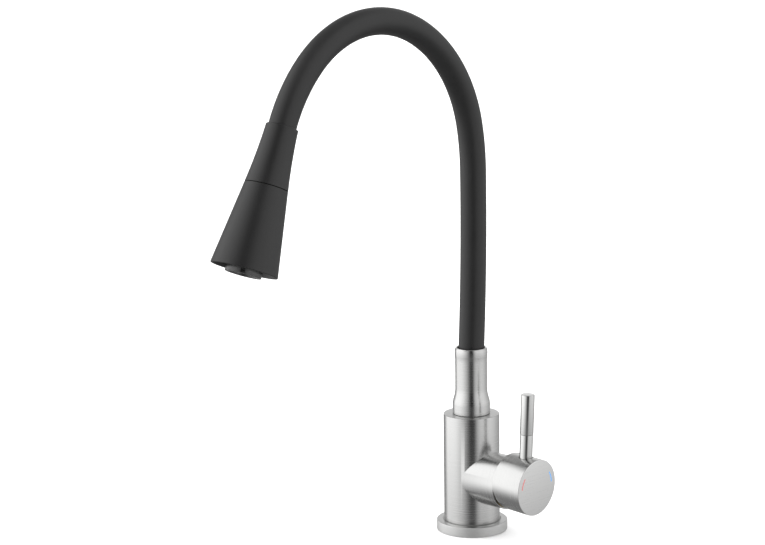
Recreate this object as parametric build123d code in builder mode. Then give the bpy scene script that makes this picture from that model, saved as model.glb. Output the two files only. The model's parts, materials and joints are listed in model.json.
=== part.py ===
from build123d import *
import os
from math import cos, radians, sin, tan

os.makedirs("parts", exist_ok=True)

# Single-lever kitchen mixer with a flexible silicone-sleeved spout and a two-mode cone spray head.
# Millimetres. Origin: centre of the base's underside, on the body's axis. +Z is up, the spout
# points to -Y and the lever branch points to +X.

# ---------------------------------------------------------------- driving dimensions
BASE_R = 28.6              # base ring radius
BASE_H = 8.0
BODY_R = 22.5              # 45 mm body tube
BODY_TOP = 95.5
BODY_WALL = 1.5
BRANCH_R = 21.2            # 42.4 mm side branch, houses a 35 mm cartridge
BRANCH_Z = 45.0            # height of the branch's axis
BRANCH_END = 41.0
BRANCH_WALL = 1.0
COLLAR_TOP = 149.5         # lip of the collar that the neck grows out of
HANDLE_R = 22.5
HANDLE_DEPTH = 27.0
HANDLE_FACE_X = 68.5       # centre of the handle's front face
HANDLE_FACE_Z = 46.2
HANDLE_DROOP = 2.6         # degrees that the closed handle's axis points below level
ROD_BEHIND_FACE = 12.3     # lever rod's axis behind the front face
ROD_LENGTH = 50.9          # lever rod above the handle's skin
SLEEVE_R = 10.35           # silicone sleeve of the neck
GOOSENECK_R = 8.3          # stay-put steel gooseneck inside the sleeve
WATER_HOSE_R = 5.9         # water hose inside the gooseneck
WATER_BORE_R = 4.0
GOOSENECK_IN = 6.6
HEAD_TOP_R = 11.95         # spray head: top rim, seam and mouth radii
HEAD_SEAM_R = 16.0
HEAD_MOUTH_R = 24.8
GRIP_LENGTH = 44.3
CONE_LENGTH = 62.0
AERATOR_R = 13.4

# centre line of the neck above the collar: (radius, turn in degrees), tangent arcs in the plane
# X = 0; a positive turn leans towards -Y, so the line ends 158 degrees from upright
NECK_FOOT_Z = 108.0        # lower end of the water hose, inside the collar
NECK_STRAIGHT = 31.0       # upright run inside the collar
NECK_TAIL = 22.0           # straight run inside the spray head
NECK_ARCS = [(100.0, -3.5), (1950.0, 4.3), (194.0, 10.8), (107.5, 52.7), (98.8, 69.6), (124.0, 24.1)]
# lengths along the centre line, from the hose's lower end, at which the neck's pivots sit
NECK_PIVOTS = [86.0, 146.0, 208.0, 274.0, 342.0, 410.0]

CLEAR = 0.3                # between parts of different bodies
FIT = 0.05                 # radial play of a running or threaded fit
PIVOT_BALL = 13.0          # radius of the spherical cut between two neck stretches


# ---------------------------------------------------------------- shared helpers
def section_plane(origin, along, across):
    """Half-section plane of a turned part: local x is the radius, local y runs along the axis."""
    return Plane(origin=origin, x_dir=across, z_dir=Vector(*across).cross(Vector(*along)))


def turned(profile, plane):
    """Solid turned about the plane's local y axis from (radius, height) points."""
    with BuildPart() as piece:
        with BuildSketch(plane):
            with BuildLine():
                Polyline(*profile, close=True)
            make_face()
        revolve(axis=Axis(plane.origin, plane.y_dir))
    return piece


def ring(inner, outer, low, high):
    """Section of a plain ring."""
    return [(inner, low), (outer, low), (outer, high), (inner, high)]


def o_ring(plane, mean_radius, height, thickness):
    """Rubber ring of round section, standing at a height along a turned part's axis."""
    with BuildPart() as piece:
        with BuildSketch(plane):
            with Locations((mean_radius, height)):
                Circle(thickness / 2)
        revolve(axis=Axis(plane.origin, plane.y_dir))
    return piece


COLUMN = section_plane((0, 0, 0), (0, 0, 1), (1, 0, 0))
BRANCH = section_plane((0, 0, BRANCH_Z), (1, 0, 0), (0, 0, 1))

# ---------------------------------------------------------------- base
RING_BORE_R = 18.6
RING_COLLAR_TOP = 14.0
GASKET_IN = 21.5
GASKET_OUT = 26.5
GASKET_DEPTH = 2.0
SHELL_IN = BODY_R - BODY_WALL

with BuildPart() as base_ring:
    with BuildSketch(COLUMN):
        with BuildLine():
            Polyline((RING_BORE_R, 0), (BASE_R, 0), (BASE_R, BASE_H), (SHELL_IN - FIT, BASE_H),
                     (SHELL_IN - FIT, RING_COLLAR_TOP), (RING_BORE_R, RING_COLLAR_TOP), close=True)
        make_face()
    revolve(axis=Axis.Z)
    with BuildSketch(Plane.XY):
        Circle(GASKET_OUT)
        Circle(GASKET_IN, mode=Mode.SUBTRACT)
    extrude(amount=GASKET_DEPTH, mode=Mode.SUBTRACT)
    base_rims = base_ring.edges().filter_by(GeomType.CIRCLE)
    outer_rims = base_rims.filter_by(lambda edge: abs(edge.radius - BASE_R) < 0.01)
    fillet(outer_rims.sort_by(Axis.Z)[-1], radius=0.7)
    foot_rims = base_ring.edges().filter_by(GeomType.CIRCLE).group_by(Axis.Z)[0]
    chamfer(foot_rims.sort_by(SortBy.RADIUS)[-1], length=0.3)
base_ring.part.label = "base_ring"
export_step(base_ring.part, "parts/base_ring.step")

base_gasket = turned(ring(GASKET_IN + FIT, GASKET_OUT - FIT, 0, GASKET_DEPTH), COLUMN)
base_gasket.part.label = "base_gasket"
export_step(base_gasket.part, "parts/base_gasket.step")

# ---------------------------------------------------------------- body shell
TOP_WALL = 5.0
BUSH_R = 12.4
BODY_TOP_CHAMFER = 0.5
BRANCH_IN = BRANCH_R - BRANCH_WALL

with BuildPart() as body_tube:
    with BuildSketch(Plane.XY.offset(BASE_H)):
        Circle(BODY_R)
    extrude(amount=BODY_TOP - BASE_H)
    with BuildSketch(Plane.XY.offset(BASE_H)):
        Circle(SHELL_IN)
    extrude(amount=BODY_TOP - TOP_WALL - BASE_H, mode=Mode.SUBTRACT)
    # window that the branch is welded around, and the swivel's hole in the top wall
    with BuildSketch(Plane.YZ):
        with Locations((0, BRANCH_Z)):
            Circle(BRANCH_IN)
    extrude(amount=BRANCH_END, mode=Mode.SUBTRACT)
    with BuildSketch(Plane.XY.offset(BODY_TOP - TOP_WALL)):
        Circle(BUSH_R + FIT)
    extrude(amount=TOP_WALL, mode=Mode.SUBTRACT)
    top_rims = body_tube.edges().filter_by(GeomType.CIRCLE).group_by(Axis.Z)[-1]
    chamfer(top_rims.sort_by(SortBy.RADIUS)[-1], length=BODY_TOP_CHAMFER)

with BuildPart() as branch_tube:
    with BuildSketch(Plane.YZ):
        with Locations((0, BRANCH_Z)):
            Circle(BRANCH_R)
            Circle(BRANCH_IN, mode=Mode.SUBTRACT)
    extrude(amount=BRANCH_END)
    with BuildSketch(Plane.XY):
        Circle(BODY_R)
    extrude(amount=BODY_TOP, mode=Mode.SUBTRACT)

# the two tubes are welded along the saddle where they meet
body_shell = Compound(label="body_shell", children=[body_tube.part, branch_tube.part])
export_step(body_shell, "parts/body_shell.step")

# ---------------------------------------------------------------- valve block
BLOCK_LOW = 18.0
BLOCK_HIGH = 67.0
BLOCK_R = SHELL_IN - 0.2
BARREL_R = BRANCH_IN - 0.1
SEAT_X = 12.0              # floor of the cartridge seat
SEAT_R = 17.6
NUT_X = 32.4               # shoulder where the retaining nut's thread starts
NUT_R = 18.8
RISER_R = 14.0
RISER_TOP = 90.2
SPIGOT_R = 10.0
SPIGOT_FOOT = 73.0
RING_GROOVE_Z = 86.7       # groove for the spigot's split ring
RING_GROOVE_H = 3.0
RING_GROOVE_R = 11.6
INLET_R = 4.5              # M10x1 hose thread, minor radius
INLET_Y = 10.0
INLET_DEPTH = 14.0
STUD_R = 3.4               # M8 fixing stud, minor radius
STUD_X = -12.5
CHANNEL_R = 3.2
PORT_DROP = 5.0            # inlet ports below the branch axis
PORT_Y = 6.5
OUTLET_RISE = 7.0          # outlet port above the branch axis
RISER_BORE_R = 4.2
BARREL_END = BRANCH_END - 0.5
POCKET_WALL = 8.0          # wall left between the pocket and the seat
POCKET_HEIGHT = 22.0
POCKET_LIFT = 3.0


# cartridge seat and the wider thread of its nut: (start, radius)
SEAT_STEPS = [(SEAT_X, SEAT_R), (NUT_X, NUT_R + FIT)]
CHANNEL_LOW = BLOCK_LOW + INLET_DEPTH
CHANNEL_LENGTH = BRANCH_Z - PORT_DROP + CHANNEL_R - CHANNEL_LOW
# upright holes of the channel block: (radius, foot, length, x, y)
INLET_HOLES = [(INLET_R, BLOCK_LOW, INLET_DEPTH, 0, side * INLET_Y) for side in (-1, 1)]
CHANNEL_HOLES = [(CHANNEL_R, CHANNEL_LOW, CHANNEL_LENGTH, 0, side * INLET_Y) for side in (-1, 1)]
RISER_HOLES = [(RISER_BORE_R, BRANCH_Z + OUTLET_RISE, RISER_TOP, 0, 0),
               (SPIGOT_R + FIT, SPIGOT_FOOT - 1, RISER_TOP, 0, 0),
               (RING_GROOVE_R, RING_GROOVE_Z, RING_GROOVE_H, 0, 0)]
STUD_HOLES = [(STUD_R, BLOCK_LOW, INLET_DEPTH, STUD_X, 0)]
# channels across to the seat's ports: (y, z)
CROSS_CHANNELS = [(side * (INLET_Y + PORT_Y) / 2, BRANCH_Z - PORT_DROP) for side in (-1, 1)]
CROSS_CHANNELS += [(0, BRANCH_Z + OUTLET_RISE)]

with BuildPart() as seat_barrel:
    with BuildSketch(Plane.YZ):
        with Locations((0, BRANCH_Z)):
            Circle(BARREL_R)
    extrude(amount=BARREL_END)
    with BuildSketch(Plane.XY.offset(BLOCK_LOW)):
        Circle(BLOCK_R)
    extrude(amount=BLOCK_HIGH - BLOCK_LOW, mode=Mode.SUBTRACT)
    for start, radius in SEAT_STEPS:
        with BuildSketch(Plane.YZ.offset(start)):
            with Locations((0, BRANCH_Z)):
                Circle(radius)
        extrude(amount=BRANCH_END, mode=Mode.SUBTRACT)

with BuildPart() as channel_block:
    with BuildSketch(Plane.XY.offset(BLOCK_LOW)):
        Circle(BLOCK_R)
    extrude(amount=BLOCK_HIGH - BLOCK_LOW)
    with BuildSketch(Plane.XY.offset(BLOCK_HIGH)):
        Circle(RISER_R)
    extrude(amount=RISER_TOP - BLOCK_HIGH)
    for start, radius in SEAT_STEPS:
        with BuildSketch(Plane.YZ.offset(start)):
            with Locations((0, BRANCH_Z)):
                Circle(radius)
        extrude(amount=BRANCH_END, mode=Mode.SUBTRACT)
    # casting pocket behind the seat
    with Locations((-BLOCK_R - POCKET_WALL, 0, BRANCH_Z + POCKET_LIFT)):
        Box(2 * BLOCK_R, 4 * BLOCK_R, POCKET_HEIGHT, mode=Mode.SUBTRACT)
    for radius, foot, length, x, y in INLET_HOLES + CHANNEL_HOLES + RISER_HOLES + STUD_HOLES:
        with BuildSketch(Plane.XY.offset(foot)):
            with Locations((x, y)):
                Circle(radius)
        extrude(amount=length, mode=Mode.SUBTRACT)
    for y, z in CROSS_CHANNELS:
        with BuildSketch(Plane.YZ):
            with Locations((y, z)):
                Circle(CHANNEL_R)
        extrude(amount=SEAT_X, mode=Mode.SUBTRACT)

# the cartridge's barrel is brazed into the side of the channel block
valve_block = Compound(label="valve_block", children=[channel_block.part, seat_barrel.part])
export_step(valve_block, "parts/valve_block.step")

# ---------------------------------------------------------------- cartridge, fixed pieces
SEAL_T = 0.6
PLATE_X = SEAT_X + SEAL_T
PLATE_T = 2.0
FIXED_DISC_X = PLATE_X + PLATE_T + 0.02
DISC_T = 3.4
FIXED_DISC_R = 14.6
HOUSING_R = 17.4
HOUSING_IN = 15.0
TURRET_R = 14.4
TURRET_NECK_R = 10.5
TURRET_X = 28.0
TURRET_SHOULDER = 33.0
TURRET_END = 37.3
HOUSING_LIP_X = TURRET_SHOULDER + CLEAR
HOUSING_END = HOUSING_LIP_X + 1.5
PORTS = [(-PORT_Y, -PORT_DROP), (PORT_Y, -PORT_DROP), (0, OUTLET_RISE)]


def ported_disc(radius, x, thickness, port_radius):
    """Disc across the branch axis with the two inlet ports and the outlet port."""
    with BuildPart() as piece:
        with BuildSketch(Plane.YZ.offset(x)):
            with Locations((0, BRANCH_Z)):
                Circle(radius)
            for port_y, port_z in PORTS:
                with Locations((port_y, BRANCH_Z + port_z)):
                    Circle(port_radius, mode=Mode.SUBTRACT)
        extrude(amount=thickness)
    return piece


with BuildPart() as cartridge_base_seal:
    with BuildSketch(Plane.YZ.offset(SEAT_X)):
        for port_y, port_z in PORTS:
            with Locations((port_y, BRANCH_Z + port_z)):
                Circle(CHANNEL_R + 1.4)
        for port_y, port_z in PORTS:
            with Locations((port_y, BRANCH_Z + port_z)):
                Circle(CHANNEL_R + 0.1, mode=Mode.SUBTRACT)
    extrude(amount=SEAL_T)
cartridge_base_seal.part.label = "cartridge_base_seal"
export_step(cartridge_base_seal.part, "parts/cartridge_base_seal.step")

cartridge_base = ported_disc(HOUSING_R, PLATE_X, PLATE_T, CHANNEL_R)
cartridge_base.part.label = "cartridge_base"
export_step(cartridge_base.part, "parts/cartridge_base.step")

fixed_ceramic_disc = ported_disc(FIXED_DISC_R, FIXED_DISC_X, DISC_T, CHANNEL_R - 0.4)
fixed_ceramic_disc.part.label = "fixed_ceramic_disc"
export_step(fixed_ceramic_disc.part, "parts/fixed_ceramic_disc.step")

housing_foot = PLATE_X + PLATE_T
cartridge_housing = turned([(HOUSING_IN, housing_foot), (HOUSING_R, housing_foot), (HOUSING_R, NUT_X),
                            (HOUSING_R - 1.6, NUT_X), (HOUSING_R - 1.6, HOUSING_END),
                            (TURRET_NECK_R + 0.4, HOUSING_END), (TURRET_NECK_R + 0.4, HOUSING_LIP_X),
                            (HOUSING_IN, HOUSING_LIP_X)], BRANCH)
cartridge_housing.part.label = "cartridge_housing"
export_step(cartridge_housing.part, "parts/cartridge_housing.step")

NUT_LENGTH = 7.0
KEY_SLOTS = 6

with BuildPart() as cartridge_nut:
    with BuildSketch(Plane.YZ.offset(NUT_X + 0.02)):
        with Locations((0, BRANCH_Z)):
            Circle(NUT_R)
            Circle(HOUSING_R - 1.5, mode=Mode.SUBTRACT)
    extrude(amount=NUT_LENGTH)
    # slots for the pin spanner
    with BuildSketch(Plane.YZ.offset(NUT_X + NUT_LENGTH - 2)):
        with Locations((0, BRANCH_Z)):
            with PolarLocations(NUT_R, KEY_SLOTS):
                Rectangle(3, 3)
    extrude(amount=4, mode=Mode.SUBTRACT)
cartridge_nut.part.label = "cartridge_nut"
export_step(cartridge_nut.part, "parts/cartridge_nut.step")

# ---------------------------------------------------------------- cartridge, turning and sliding pieces
PIVOT_X = 32.0             # the lever's pivot pin, on the branch axis
PIN_R = 1.5
PIN_LENGTH = 19.0
STEM_R = 3.2
STEM_BALL_R = 2.4
STEM_BALL_REACH = 7.2      # pivot to the centre of the ball that drives the disc
CARRIER_X = FIXED_DISC_X + DISC_T + FIT + DISC_T
CARRIER_T = 5.0
MOVING_DISC_R = 10.5

with BuildPart() as stem_turret:
    with BuildSketch(Plane.YZ.offset(TURRET_X)):
        with Locations((0, BRANCH_Z)):
            Circle(TURRET_R)
    extrude(amount=TURRET_SHOULDER - TURRET_X)
    with BuildSketch(Plane.YZ.offset(TURRET_SHOULDER)):
        with Locations((0, BRANCH_Z)):
            Circle(TURRET_NECK_R)
    extrude(amount=TURRET_END - TURRET_SHOULDER)
    # slot that the stem tilts in
    with BuildSketch(Plane.YZ.offset(TURRET_X)):
        with Locations((0, BRANCH_Z - 0.6)):
            Rectangle(2 * STEM_R + 0.8, 12.4)
    extrude(amount=TURRET_END, mode=Mode.SUBTRACT)
    with Locations((PIVOT_X, 0, BRANCH_Z)):
        Cylinder(PIN_R + 0.02, PIN_LENGTH, rotation=(90, 0, 0), mode=Mode.SUBTRACT)
stem_turret.part.label = "stem_turret"
export_step(stem_turret.part, "parts/stem_turret.step")

with BuildPart() as stem_pin:
    with Locations((PIVOT_X, 0, BRANCH_Z)):
        Cylinder(PIN_R, PIN_LENGTH - 0.4, rotation=(90, 0, 0))
stem_pin.part.label = "stem_pin"
export_step(stem_pin.part, "parts/stem_pin.step")

BALL_X = PIVOT_X - STEM_BALL_REACH * cos(radians(HANDLE_DROOP))
BALL_Z = BRANCH_Z + STEM_BALL_REACH * sin(radians(HANDLE_DROOP))
SOCKET_FLOOR = BALL_X - STEM_BALL_R - CLEAR - 0.1

with BuildPart() as moving_ceramic_disc:
    with BuildSketch(Plane.YZ.offset(FIXED_DISC_X + DISC_T + FIT)):
        with Locations((0, BRANCH_Z)):
            Circle(MOVING_DISC_R)
        # mixing chamber that joins the ports as the disc slides
        with Locations((0, BRANCH_Z + 1)):
            SlotOverall(9, 5, rotation=90, mode=Mode.SUBTRACT)
    extrude(amount=DISC_T)
moving_ceramic_disc.part.label = "moving_ceramic_disc"
export_step(moving_ceramic_disc.part, "parts/moving_ceramic_disc.step")

with BuildPart() as disc_carrier:
    with BuildSketch(Plane.YZ.offset(CARRIER_X)):
        with Locations((0, BRANCH_Z)):
            Circle(MOVING_DISC_R + 0.4)
    extrude(amount=CARRIER_T)
    with BuildSketch(Plane.YZ.offset(SOCKET_FLOOR)):
        with Locations((0, BALL_Z)):
            Circle(STEM_BALL_R + CLEAR + 0.1)
    extrude(amount=CARRIER_T, mode=Mode.SUBTRACT)
disc_carrier.part.label = "disc_carrier"
export_step(disc_carrier.part, "parts/disc_carrier.step")

# ---------------------------------------------------------------- handle
OUTWARD = (cos(radians(HANDLE_DROOP)), 0, -sin(radians(HANDLE_DROOP)))
UPWARD = (sin(radians(HANDLE_DROOP)), 0, cos(radians(HANDLE_DROOP)))
FACE_CENTRE = (HANDLE_FACE_X, 0, HANDLE_FACE_Z)
HANDLE = section_plane(FACE_CENTRE, OUTWARD, UPWARD)
FACE = Plane(origin=FACE_CENTRE, x_dir=(0, 1, 0), z_dir=OUTWARD)
# the stem leaves the pivot parallel to the handle's axis and a little below it
STEM_BELOW = (HANDLE_FACE_Z - BRANCH_Z) * UPWARD[2] + (HANDLE_FACE_X - PIVOT_X) * UPWARD[0]
PIVOT_BEHIND_FACE = (HANDLE_FACE_X - PIVOT_X) * OUTWARD[0] + (HANDLE_FACE_Z - BRANCH_Z) * OUTWARD[2]

CAP_WALL = 2.2
CAP_FACE_T = 4.0
SKIRT_IN = 21.5            # thinned rear skirt, which slides around the branch as the handle lifts
SKIRT_START = 20.0         # skirt's start behind the face
BOSS_R = 8.5
BOSS_END = 25.0            # boss's end behind the face
BEVEL = 13.5               # degrees that the lower half of the rear rim is cut back
SQUARE = 8.0               # stem's square, across flats
STEM_END = 17.0            # stem's end behind the face
STUD_THREAD_R = 2.9
ROD_FOOT_R = 5.2
ROD_HOLE_R = 5.6
ROD_SEAM = HANDLE_R + 18.6 # where the lever's sleeve meets its foot
ROD_TOP = HANDLE_R + ROD_LENGTH
SLEEVED_CORE_R = 3.4
LEVER_SLEEVE_R = 5.4
GRUB_R = 2.4
GRUB_BEHIND_FACE = 21.0
MARK_DEPTH = 0.3
MARK_WIDTH = 0.9
MARK_RADIUS = 17.7
MARK_SPAN = 30.0           # degrees of arc
MARK_LIFT = 20.0           # degrees that each mark's middle stands above mid-height
MARK_STARTS = {"hot_mark": 180 - MARK_LIFT - MARK_SPAN / 2, "cold_mark": MARK_LIFT - MARK_SPAN / 2}

with BuildPart() as handle_cap:
    with BuildSketch(HANDLE):
        with BuildLine():
            Polyline((0, 0), (HANDLE_R, 0), (HANDLE_R, -HANDLE_DEPTH), (SKIRT_IN, -HANDLE_DEPTH),
                     (SKIRT_IN, -SKIRT_START), (HANDLE_R - CAP_WALL, -SKIRT_START),
                     (HANDLE_R - CAP_WALL, -CAP_FACE_T), (0, -CAP_FACE_T), close=True)
        make_face()
    revolve(axis=Axis(HANDLE.origin, HANDLE.y_dir))
    face_rim = handle_cap.edges().filter_by(GeomType.CIRCLE).sort_by(Axis.X)[-1]
    chamfer(face_rim, length=0.5)
    with BuildSketch(FACE.offset(-CAP_FACE_T)):
        with Locations((0, -STEM_BELOW)):
            Circle(BOSS_R)
    extrude(amount=-(BOSS_END - CAP_FACE_T))
    # rear rim's bevel below mid-height
    with BuildSketch(HANDLE):
        with BuildLine():
            Polyline((0, -HANDLE_DEPTH - 0.01), (-30, -HANDLE_DEPTH - 0.01),
                     (-30, -HANDLE_DEPTH + 30 * tan(radians(BEVEL))), close=True)
        make_face()
    extrude(amount=30, both=True, mode=Mode.SUBTRACT)
    # square socket of the stem
    with BuildSketch(FACE.offset(-BOSS_END - 1)):
        with Locations((0, -STEM_BELOW)):
            Rectangle(SQUARE + 2 * FIT, SQUARE + 2 * FIT)
    extrude(amount=BOSS_END + 1 - STEM_END + 0.2, mode=Mode.SUBTRACT)
    # lever rod's hole through the skin, and its thread in the boss
    rod_plane = Plane(origin=FACE.offset(-ROD_BEHIND_FACE).origin, x_dir=(0, 1, 0), z_dir=UPWARD)
    with BuildSketch(rod_plane.offset(HANDLE_R - CAP_WALL - 1)):
        Circle(ROD_HOLE_R)
    extrude(amount=CAP_WALL + 2, mode=Mode.SUBTRACT)
    with BuildSketch(rod_plane):
        Circle(STUD_THREAD_R + FIT)
    extrude(amount=HANDLE_R - CAP_WALL - 1, mode=Mode.SUBTRACT)
    # grub screw's thread, and its access hole in the underside
    grub_plane = Plane(origin=FACE.offset(-GRUB_BEHIND_FACE).origin, x_dir=(0, 1, 0), z_dir=UPWARD)
    with BuildSketch(grub_plane):
        Circle(GRUB_R + FIT)
    extrude(amount=-HANDLE_R - 1, mode=Mode.SUBTRACT)
    # shallow recesses for the two colour marks
    for mark_start in MARK_STARTS.values():
        with BuildSketch(FACE.offset(-MARK_DEPTH)):
            with BuildLine():
                CenterArc((0, 0), MARK_RADIUS, mark_start, MARK_SPAN)
            trace(line_width=MARK_WIDTH + 0.04)
        extrude(amount=MARK_DEPTH + 0.1, mode=Mode.SUBTRACT)
handle_cap.part.label = "handle_cap"
export_step(handle_cap.part, "parts/handle_cap.step")

for mark_name, mark_start in MARK_STARTS.items():
    with BuildPart() as mark:
        with BuildSketch(FACE.offset(-MARK_DEPTH)):
            with BuildLine():
                CenterArc((0, 0), MARK_RADIUS, mark_start, MARK_SPAN)
            trace(line_width=MARK_WIDTH)
        extrude(amount=MARK_DEPTH + 0.05)
    mark.part.label = mark_name
    export_step(mark.part, f"parts/{mark_name}.step")

# lever stem: ball, round shank with the pin's eye, square end; it stands on the pivot
PIVOT = (PIVOT_X, 0, BRANCH_Z)
STEM = section_plane(PIVOT, OUTWARD, UPWARD)
SHANK_END = 7.5
STEM_REACH = PIVOT_BEHIND_FACE - STEM_END

with BuildPart() as lever_stem:
    with BuildSketch(STEM):
        with BuildLine():
            Polyline((0, -STEM_BALL_REACH), (1.5, -STEM_BALL_REACH), (1.5, -4.4), (STEM_R, -3.2),
                     (STEM_R, SHANK_END), (0, SHANK_END), close=True)
        make_face()
    revolve(axis=Axis(STEM.origin, STEM.y_dir))
    with Locations(STEM.from_local_coords((0, -STEM_BALL_REACH, 0))):
        Sphere(STEM_BALL_R)
    with BuildSketch(Plane(origin=PIVOT, x_dir=(0, 1, 0), z_dir=OUTWARD).offset(SHANK_END)):
        Rectangle(SQUARE, SQUARE)
    extrude(amount=STEM_REACH - SHANK_END)
    chamfer(lever_stem.faces().sort_by(Axis.X)[-1].edges(), length=0.6)
    with Locations(PIVOT):
        Cylinder(PIN_R + FIT, 4 * STEM_R, rotation=(90, 0, 0), mode=Mode.SUBTRACT)
lever_stem.part.label = "lever_stem"
export_step(lever_stem.part, "parts/lever_stem.step")

ROD = section_plane(rod_plane.origin, UPWARD, (0, 1, 0))
ROD_LAND = SQUARE / 2 + 2.2  # the stud stops short of the stem
lever_rod = turned([(0, ROD_LAND), (STUD_THREAD_R, ROD_LAND), (STUD_THREAD_R, HANDLE_R - CAP_WALL - 0.9),
                    (ROD_FOOT_R, HANDLE_R - CAP_WALL - 0.9), (ROD_FOOT_R, ROD_SEAM - 0.3),
                    (ROD_FOOT_R - 0.3, ROD_SEAM), (SLEEVED_CORE_R, ROD_SEAM), (SLEEVED_CORE_R, ROD_TOP - 5),
                    (0, ROD_TOP - 5)], ROD)
lever_rod.part.label = "lever_rod"
export_step(lever_rod.part, "parts/lever_rod.step")

lever_sleeve = turned([(SLEEVED_CORE_R + FIT, ROD_SEAM + 0.1), (LEVER_SLEEVE_R - 0.3, ROD_SEAM + 0.1),
                       (LEVER_SLEEVE_R, ROD_SEAM + 0.4), (LEVER_SLEEVE_R, ROD_TOP - 0.5),
                       (LEVER_SLEEVE_R - 0.5, ROD_TOP), (0, ROD_TOP), (0, ROD_TOP - 4.5),
                       (SLEEVED_CORE_R + FIT, ROD_TOP - 4.5)], ROD)
lever_sleeve.part.label = "lever_sleeve"
export_step(lever_sleeve.part, "parts/lever_sleeve.step")

with BuildPart() as grub_screw:
    with BuildSketch(grub_plane.offset(-STEM_BELOW - SQUARE / 2 - 0.1)):
        Circle(GRUB_R)
    extrude(amount=-6)
    with BuildSketch(grub_plane.offset(-STEM_BELOW - SQUARE / 2 - 6.1)):
        RegularPolygon(radius=1.4, side_count=6)
    extrude(amount=3, mode=Mode.SUBTRACT)
grub_screw.part.label = "grub_screw"
export_step(grub_screw.part, "parts/grub_screw.step")

# ---------------------------------------------------------------- spout collar and its swivel
COLLAR_FOOT = BODY_TOP + CLEAR
COLLAR_FOOT_R = 15.05
COLLAR_NECK_R = 12.85
COLLAR_LIP_R = 13.2
LIP_CREST_R = 11.8
SHOULDER_LOW = 102.8
SHOULDER_HIGH = 117.0
LIP_LOW = 138.0
LIP_WIDEST = 145.5
BUSH_FLANGE_R = 13.2
BUSH_FLANGE_T = 1.2
SPIGOT_TOP = 107.0
HOSE_BORE_R = SLEEVE_R + 0.35
ORING_T = 2.0
ORING_ZS = [77.5, 82.0]
SPLIT_GROOVE_R = 8.5

swivel_bush = turned([(SPIGOT_R + FIT, RISER_TOP + 0.2), (BUSH_R, RISER_TOP + 0.2),
                      (BUSH_R, BODY_TOP + 0.02),
                      (BUSH_FLANGE_R, BODY_TOP + 0.02), (BUSH_FLANGE_R, BODY_TOP + BUSH_FLANGE_T),
                      (SPIGOT_R + FIT, BODY_TOP + BUSH_FLANGE_T)], COLUMN)
swivel_bush.part.label = "swivel_bush"
export_step(swivel_bush.part, "parts/swivel_bush.step")

with BuildPart() as spout_collar:
    with BuildSketch(COLUMN):
        with BuildLine():
            # outside: foot, shoulder that sweeps in to the neck, and the rounded lip
            Line((BUSH_FLANGE_R + CLEAR, COLLAR_FOOT), (COLLAR_FOOT_R, COLLAR_FOOT))
            Line((COLLAR_FOOT_R, COLLAR_FOOT), (COLLAR_FOOT_R, SHOULDER_LOW))
            Bezier((COLLAR_FOOT_R, SHOULDER_LOW), (COLLAR_FOOT_R, SHOULDER_LOW + 5.7),
                   (COLLAR_NECK_R, SHOULDER_HIGH - 7.5), (COLLAR_NECK_R, SHOULDER_HIGH))
            Line((COLLAR_NECK_R, SHOULDER_HIGH), (COLLAR_NECK_R, LIP_LOW))
            Bezier((COLLAR_NECK_R, LIP_LOW), (COLLAR_NECK_R, LIP_LOW + 4),
                   (COLLAR_LIP_R, LIP_WIDEST - 3.3), (COLLAR_LIP_R, LIP_WIDEST))
            Bezier((COLLAR_LIP_R, LIP_WIDEST), (COLLAR_LIP_R, LIP_WIDEST + 2.8),
                   (COLLAR_LIP_R - 0.5, COLLAR_TOP), (LIP_CREST_R, COLLAR_TOP))
            # inside: hose bore, spigot thread, and the recess over the bush's flange
            Polyline((LIP_CREST_R, COLLAR_TOP), (HOSE_BORE_R + 0.6, COLLAR_TOP - 0.4),
                     (HOSE_BORE_R, NECK_FOOT_Z + NECK_STRAIGHT), (HOSE_BORE_R, SPIGOT_TOP),
                     (SPIGOT_R + FIT, SPIGOT_TOP), (SPIGOT_R + FIT, BODY_TOP + BUSH_FLANGE_T + CLEAR),
                     (BUSH_FLANGE_R + CLEAR, BODY_TOP + BUSH_FLANGE_T + CLEAR),
                     (BUSH_FLANGE_R + CLEAR, COLLAR_FOOT))
        make_face()
    revolve(axis=Axis.Z)
spout_collar.part.label = "spout_collar"
export_step(spout_collar.part, "parts/spout_collar.step")

with BuildPart() as swivel_spigot:
    with BuildSketch(Plane.XY.offset(SPIGOT_FOOT)):
        Circle(SPIGOT_R)
    extrude(amount=SPIGOT_TOP - SPIGOT_FOOT)
    chamfer(swivel_spigot.edges().group_by(Axis.Z)[0], length=0.8)
    with BuildSketch(Plane.XY.offset(SPIGOT_FOOT)):
        Circle(WATER_BORE_R)
    extrude(amount=SPIGOT_TOP, mode=Mode.SUBTRACT)
    for oring_z in ORING_ZS:
        with BuildSketch(COLUMN):
            with BuildLine():
                Polyline(*ring(SPIGOT_R - ORING_T, SPIGOT_R + 1, oring_z - 1.2, oring_z + 1.2), close=True)
            make_face()
        revolve(axis=Axis.Z, mode=Mode.SUBTRACT)
    with BuildSketch(COLUMN):
        with BuildLine():
            split_groove = ring(SPLIT_GROOVE_R, SPIGOT_R + 1, RING_GROOVE_Z + 0.4, RING_GROOVE_Z + 2.6)
            Polyline(*split_groove, close=True)
        make_face()
    revolve(axis=Axis.Z, mode=Mode.SUBTRACT)
swivel_spigot.part.label = "swivel_spigot"
export_step(swivel_spigot.part, "parts/swivel_spigot.step")

spigot_rings = [o_ring(COLUMN, SPIGOT_R - ORING_T / 2 + 0.02, z, ORING_T) for z in ORING_ZS]
spigot_o_rings = Compound(label="spigot_o_rings", children=[one.part for one in spigot_rings])
export_step(spigot_o_rings, "parts/spigot_o_rings.step")

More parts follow.
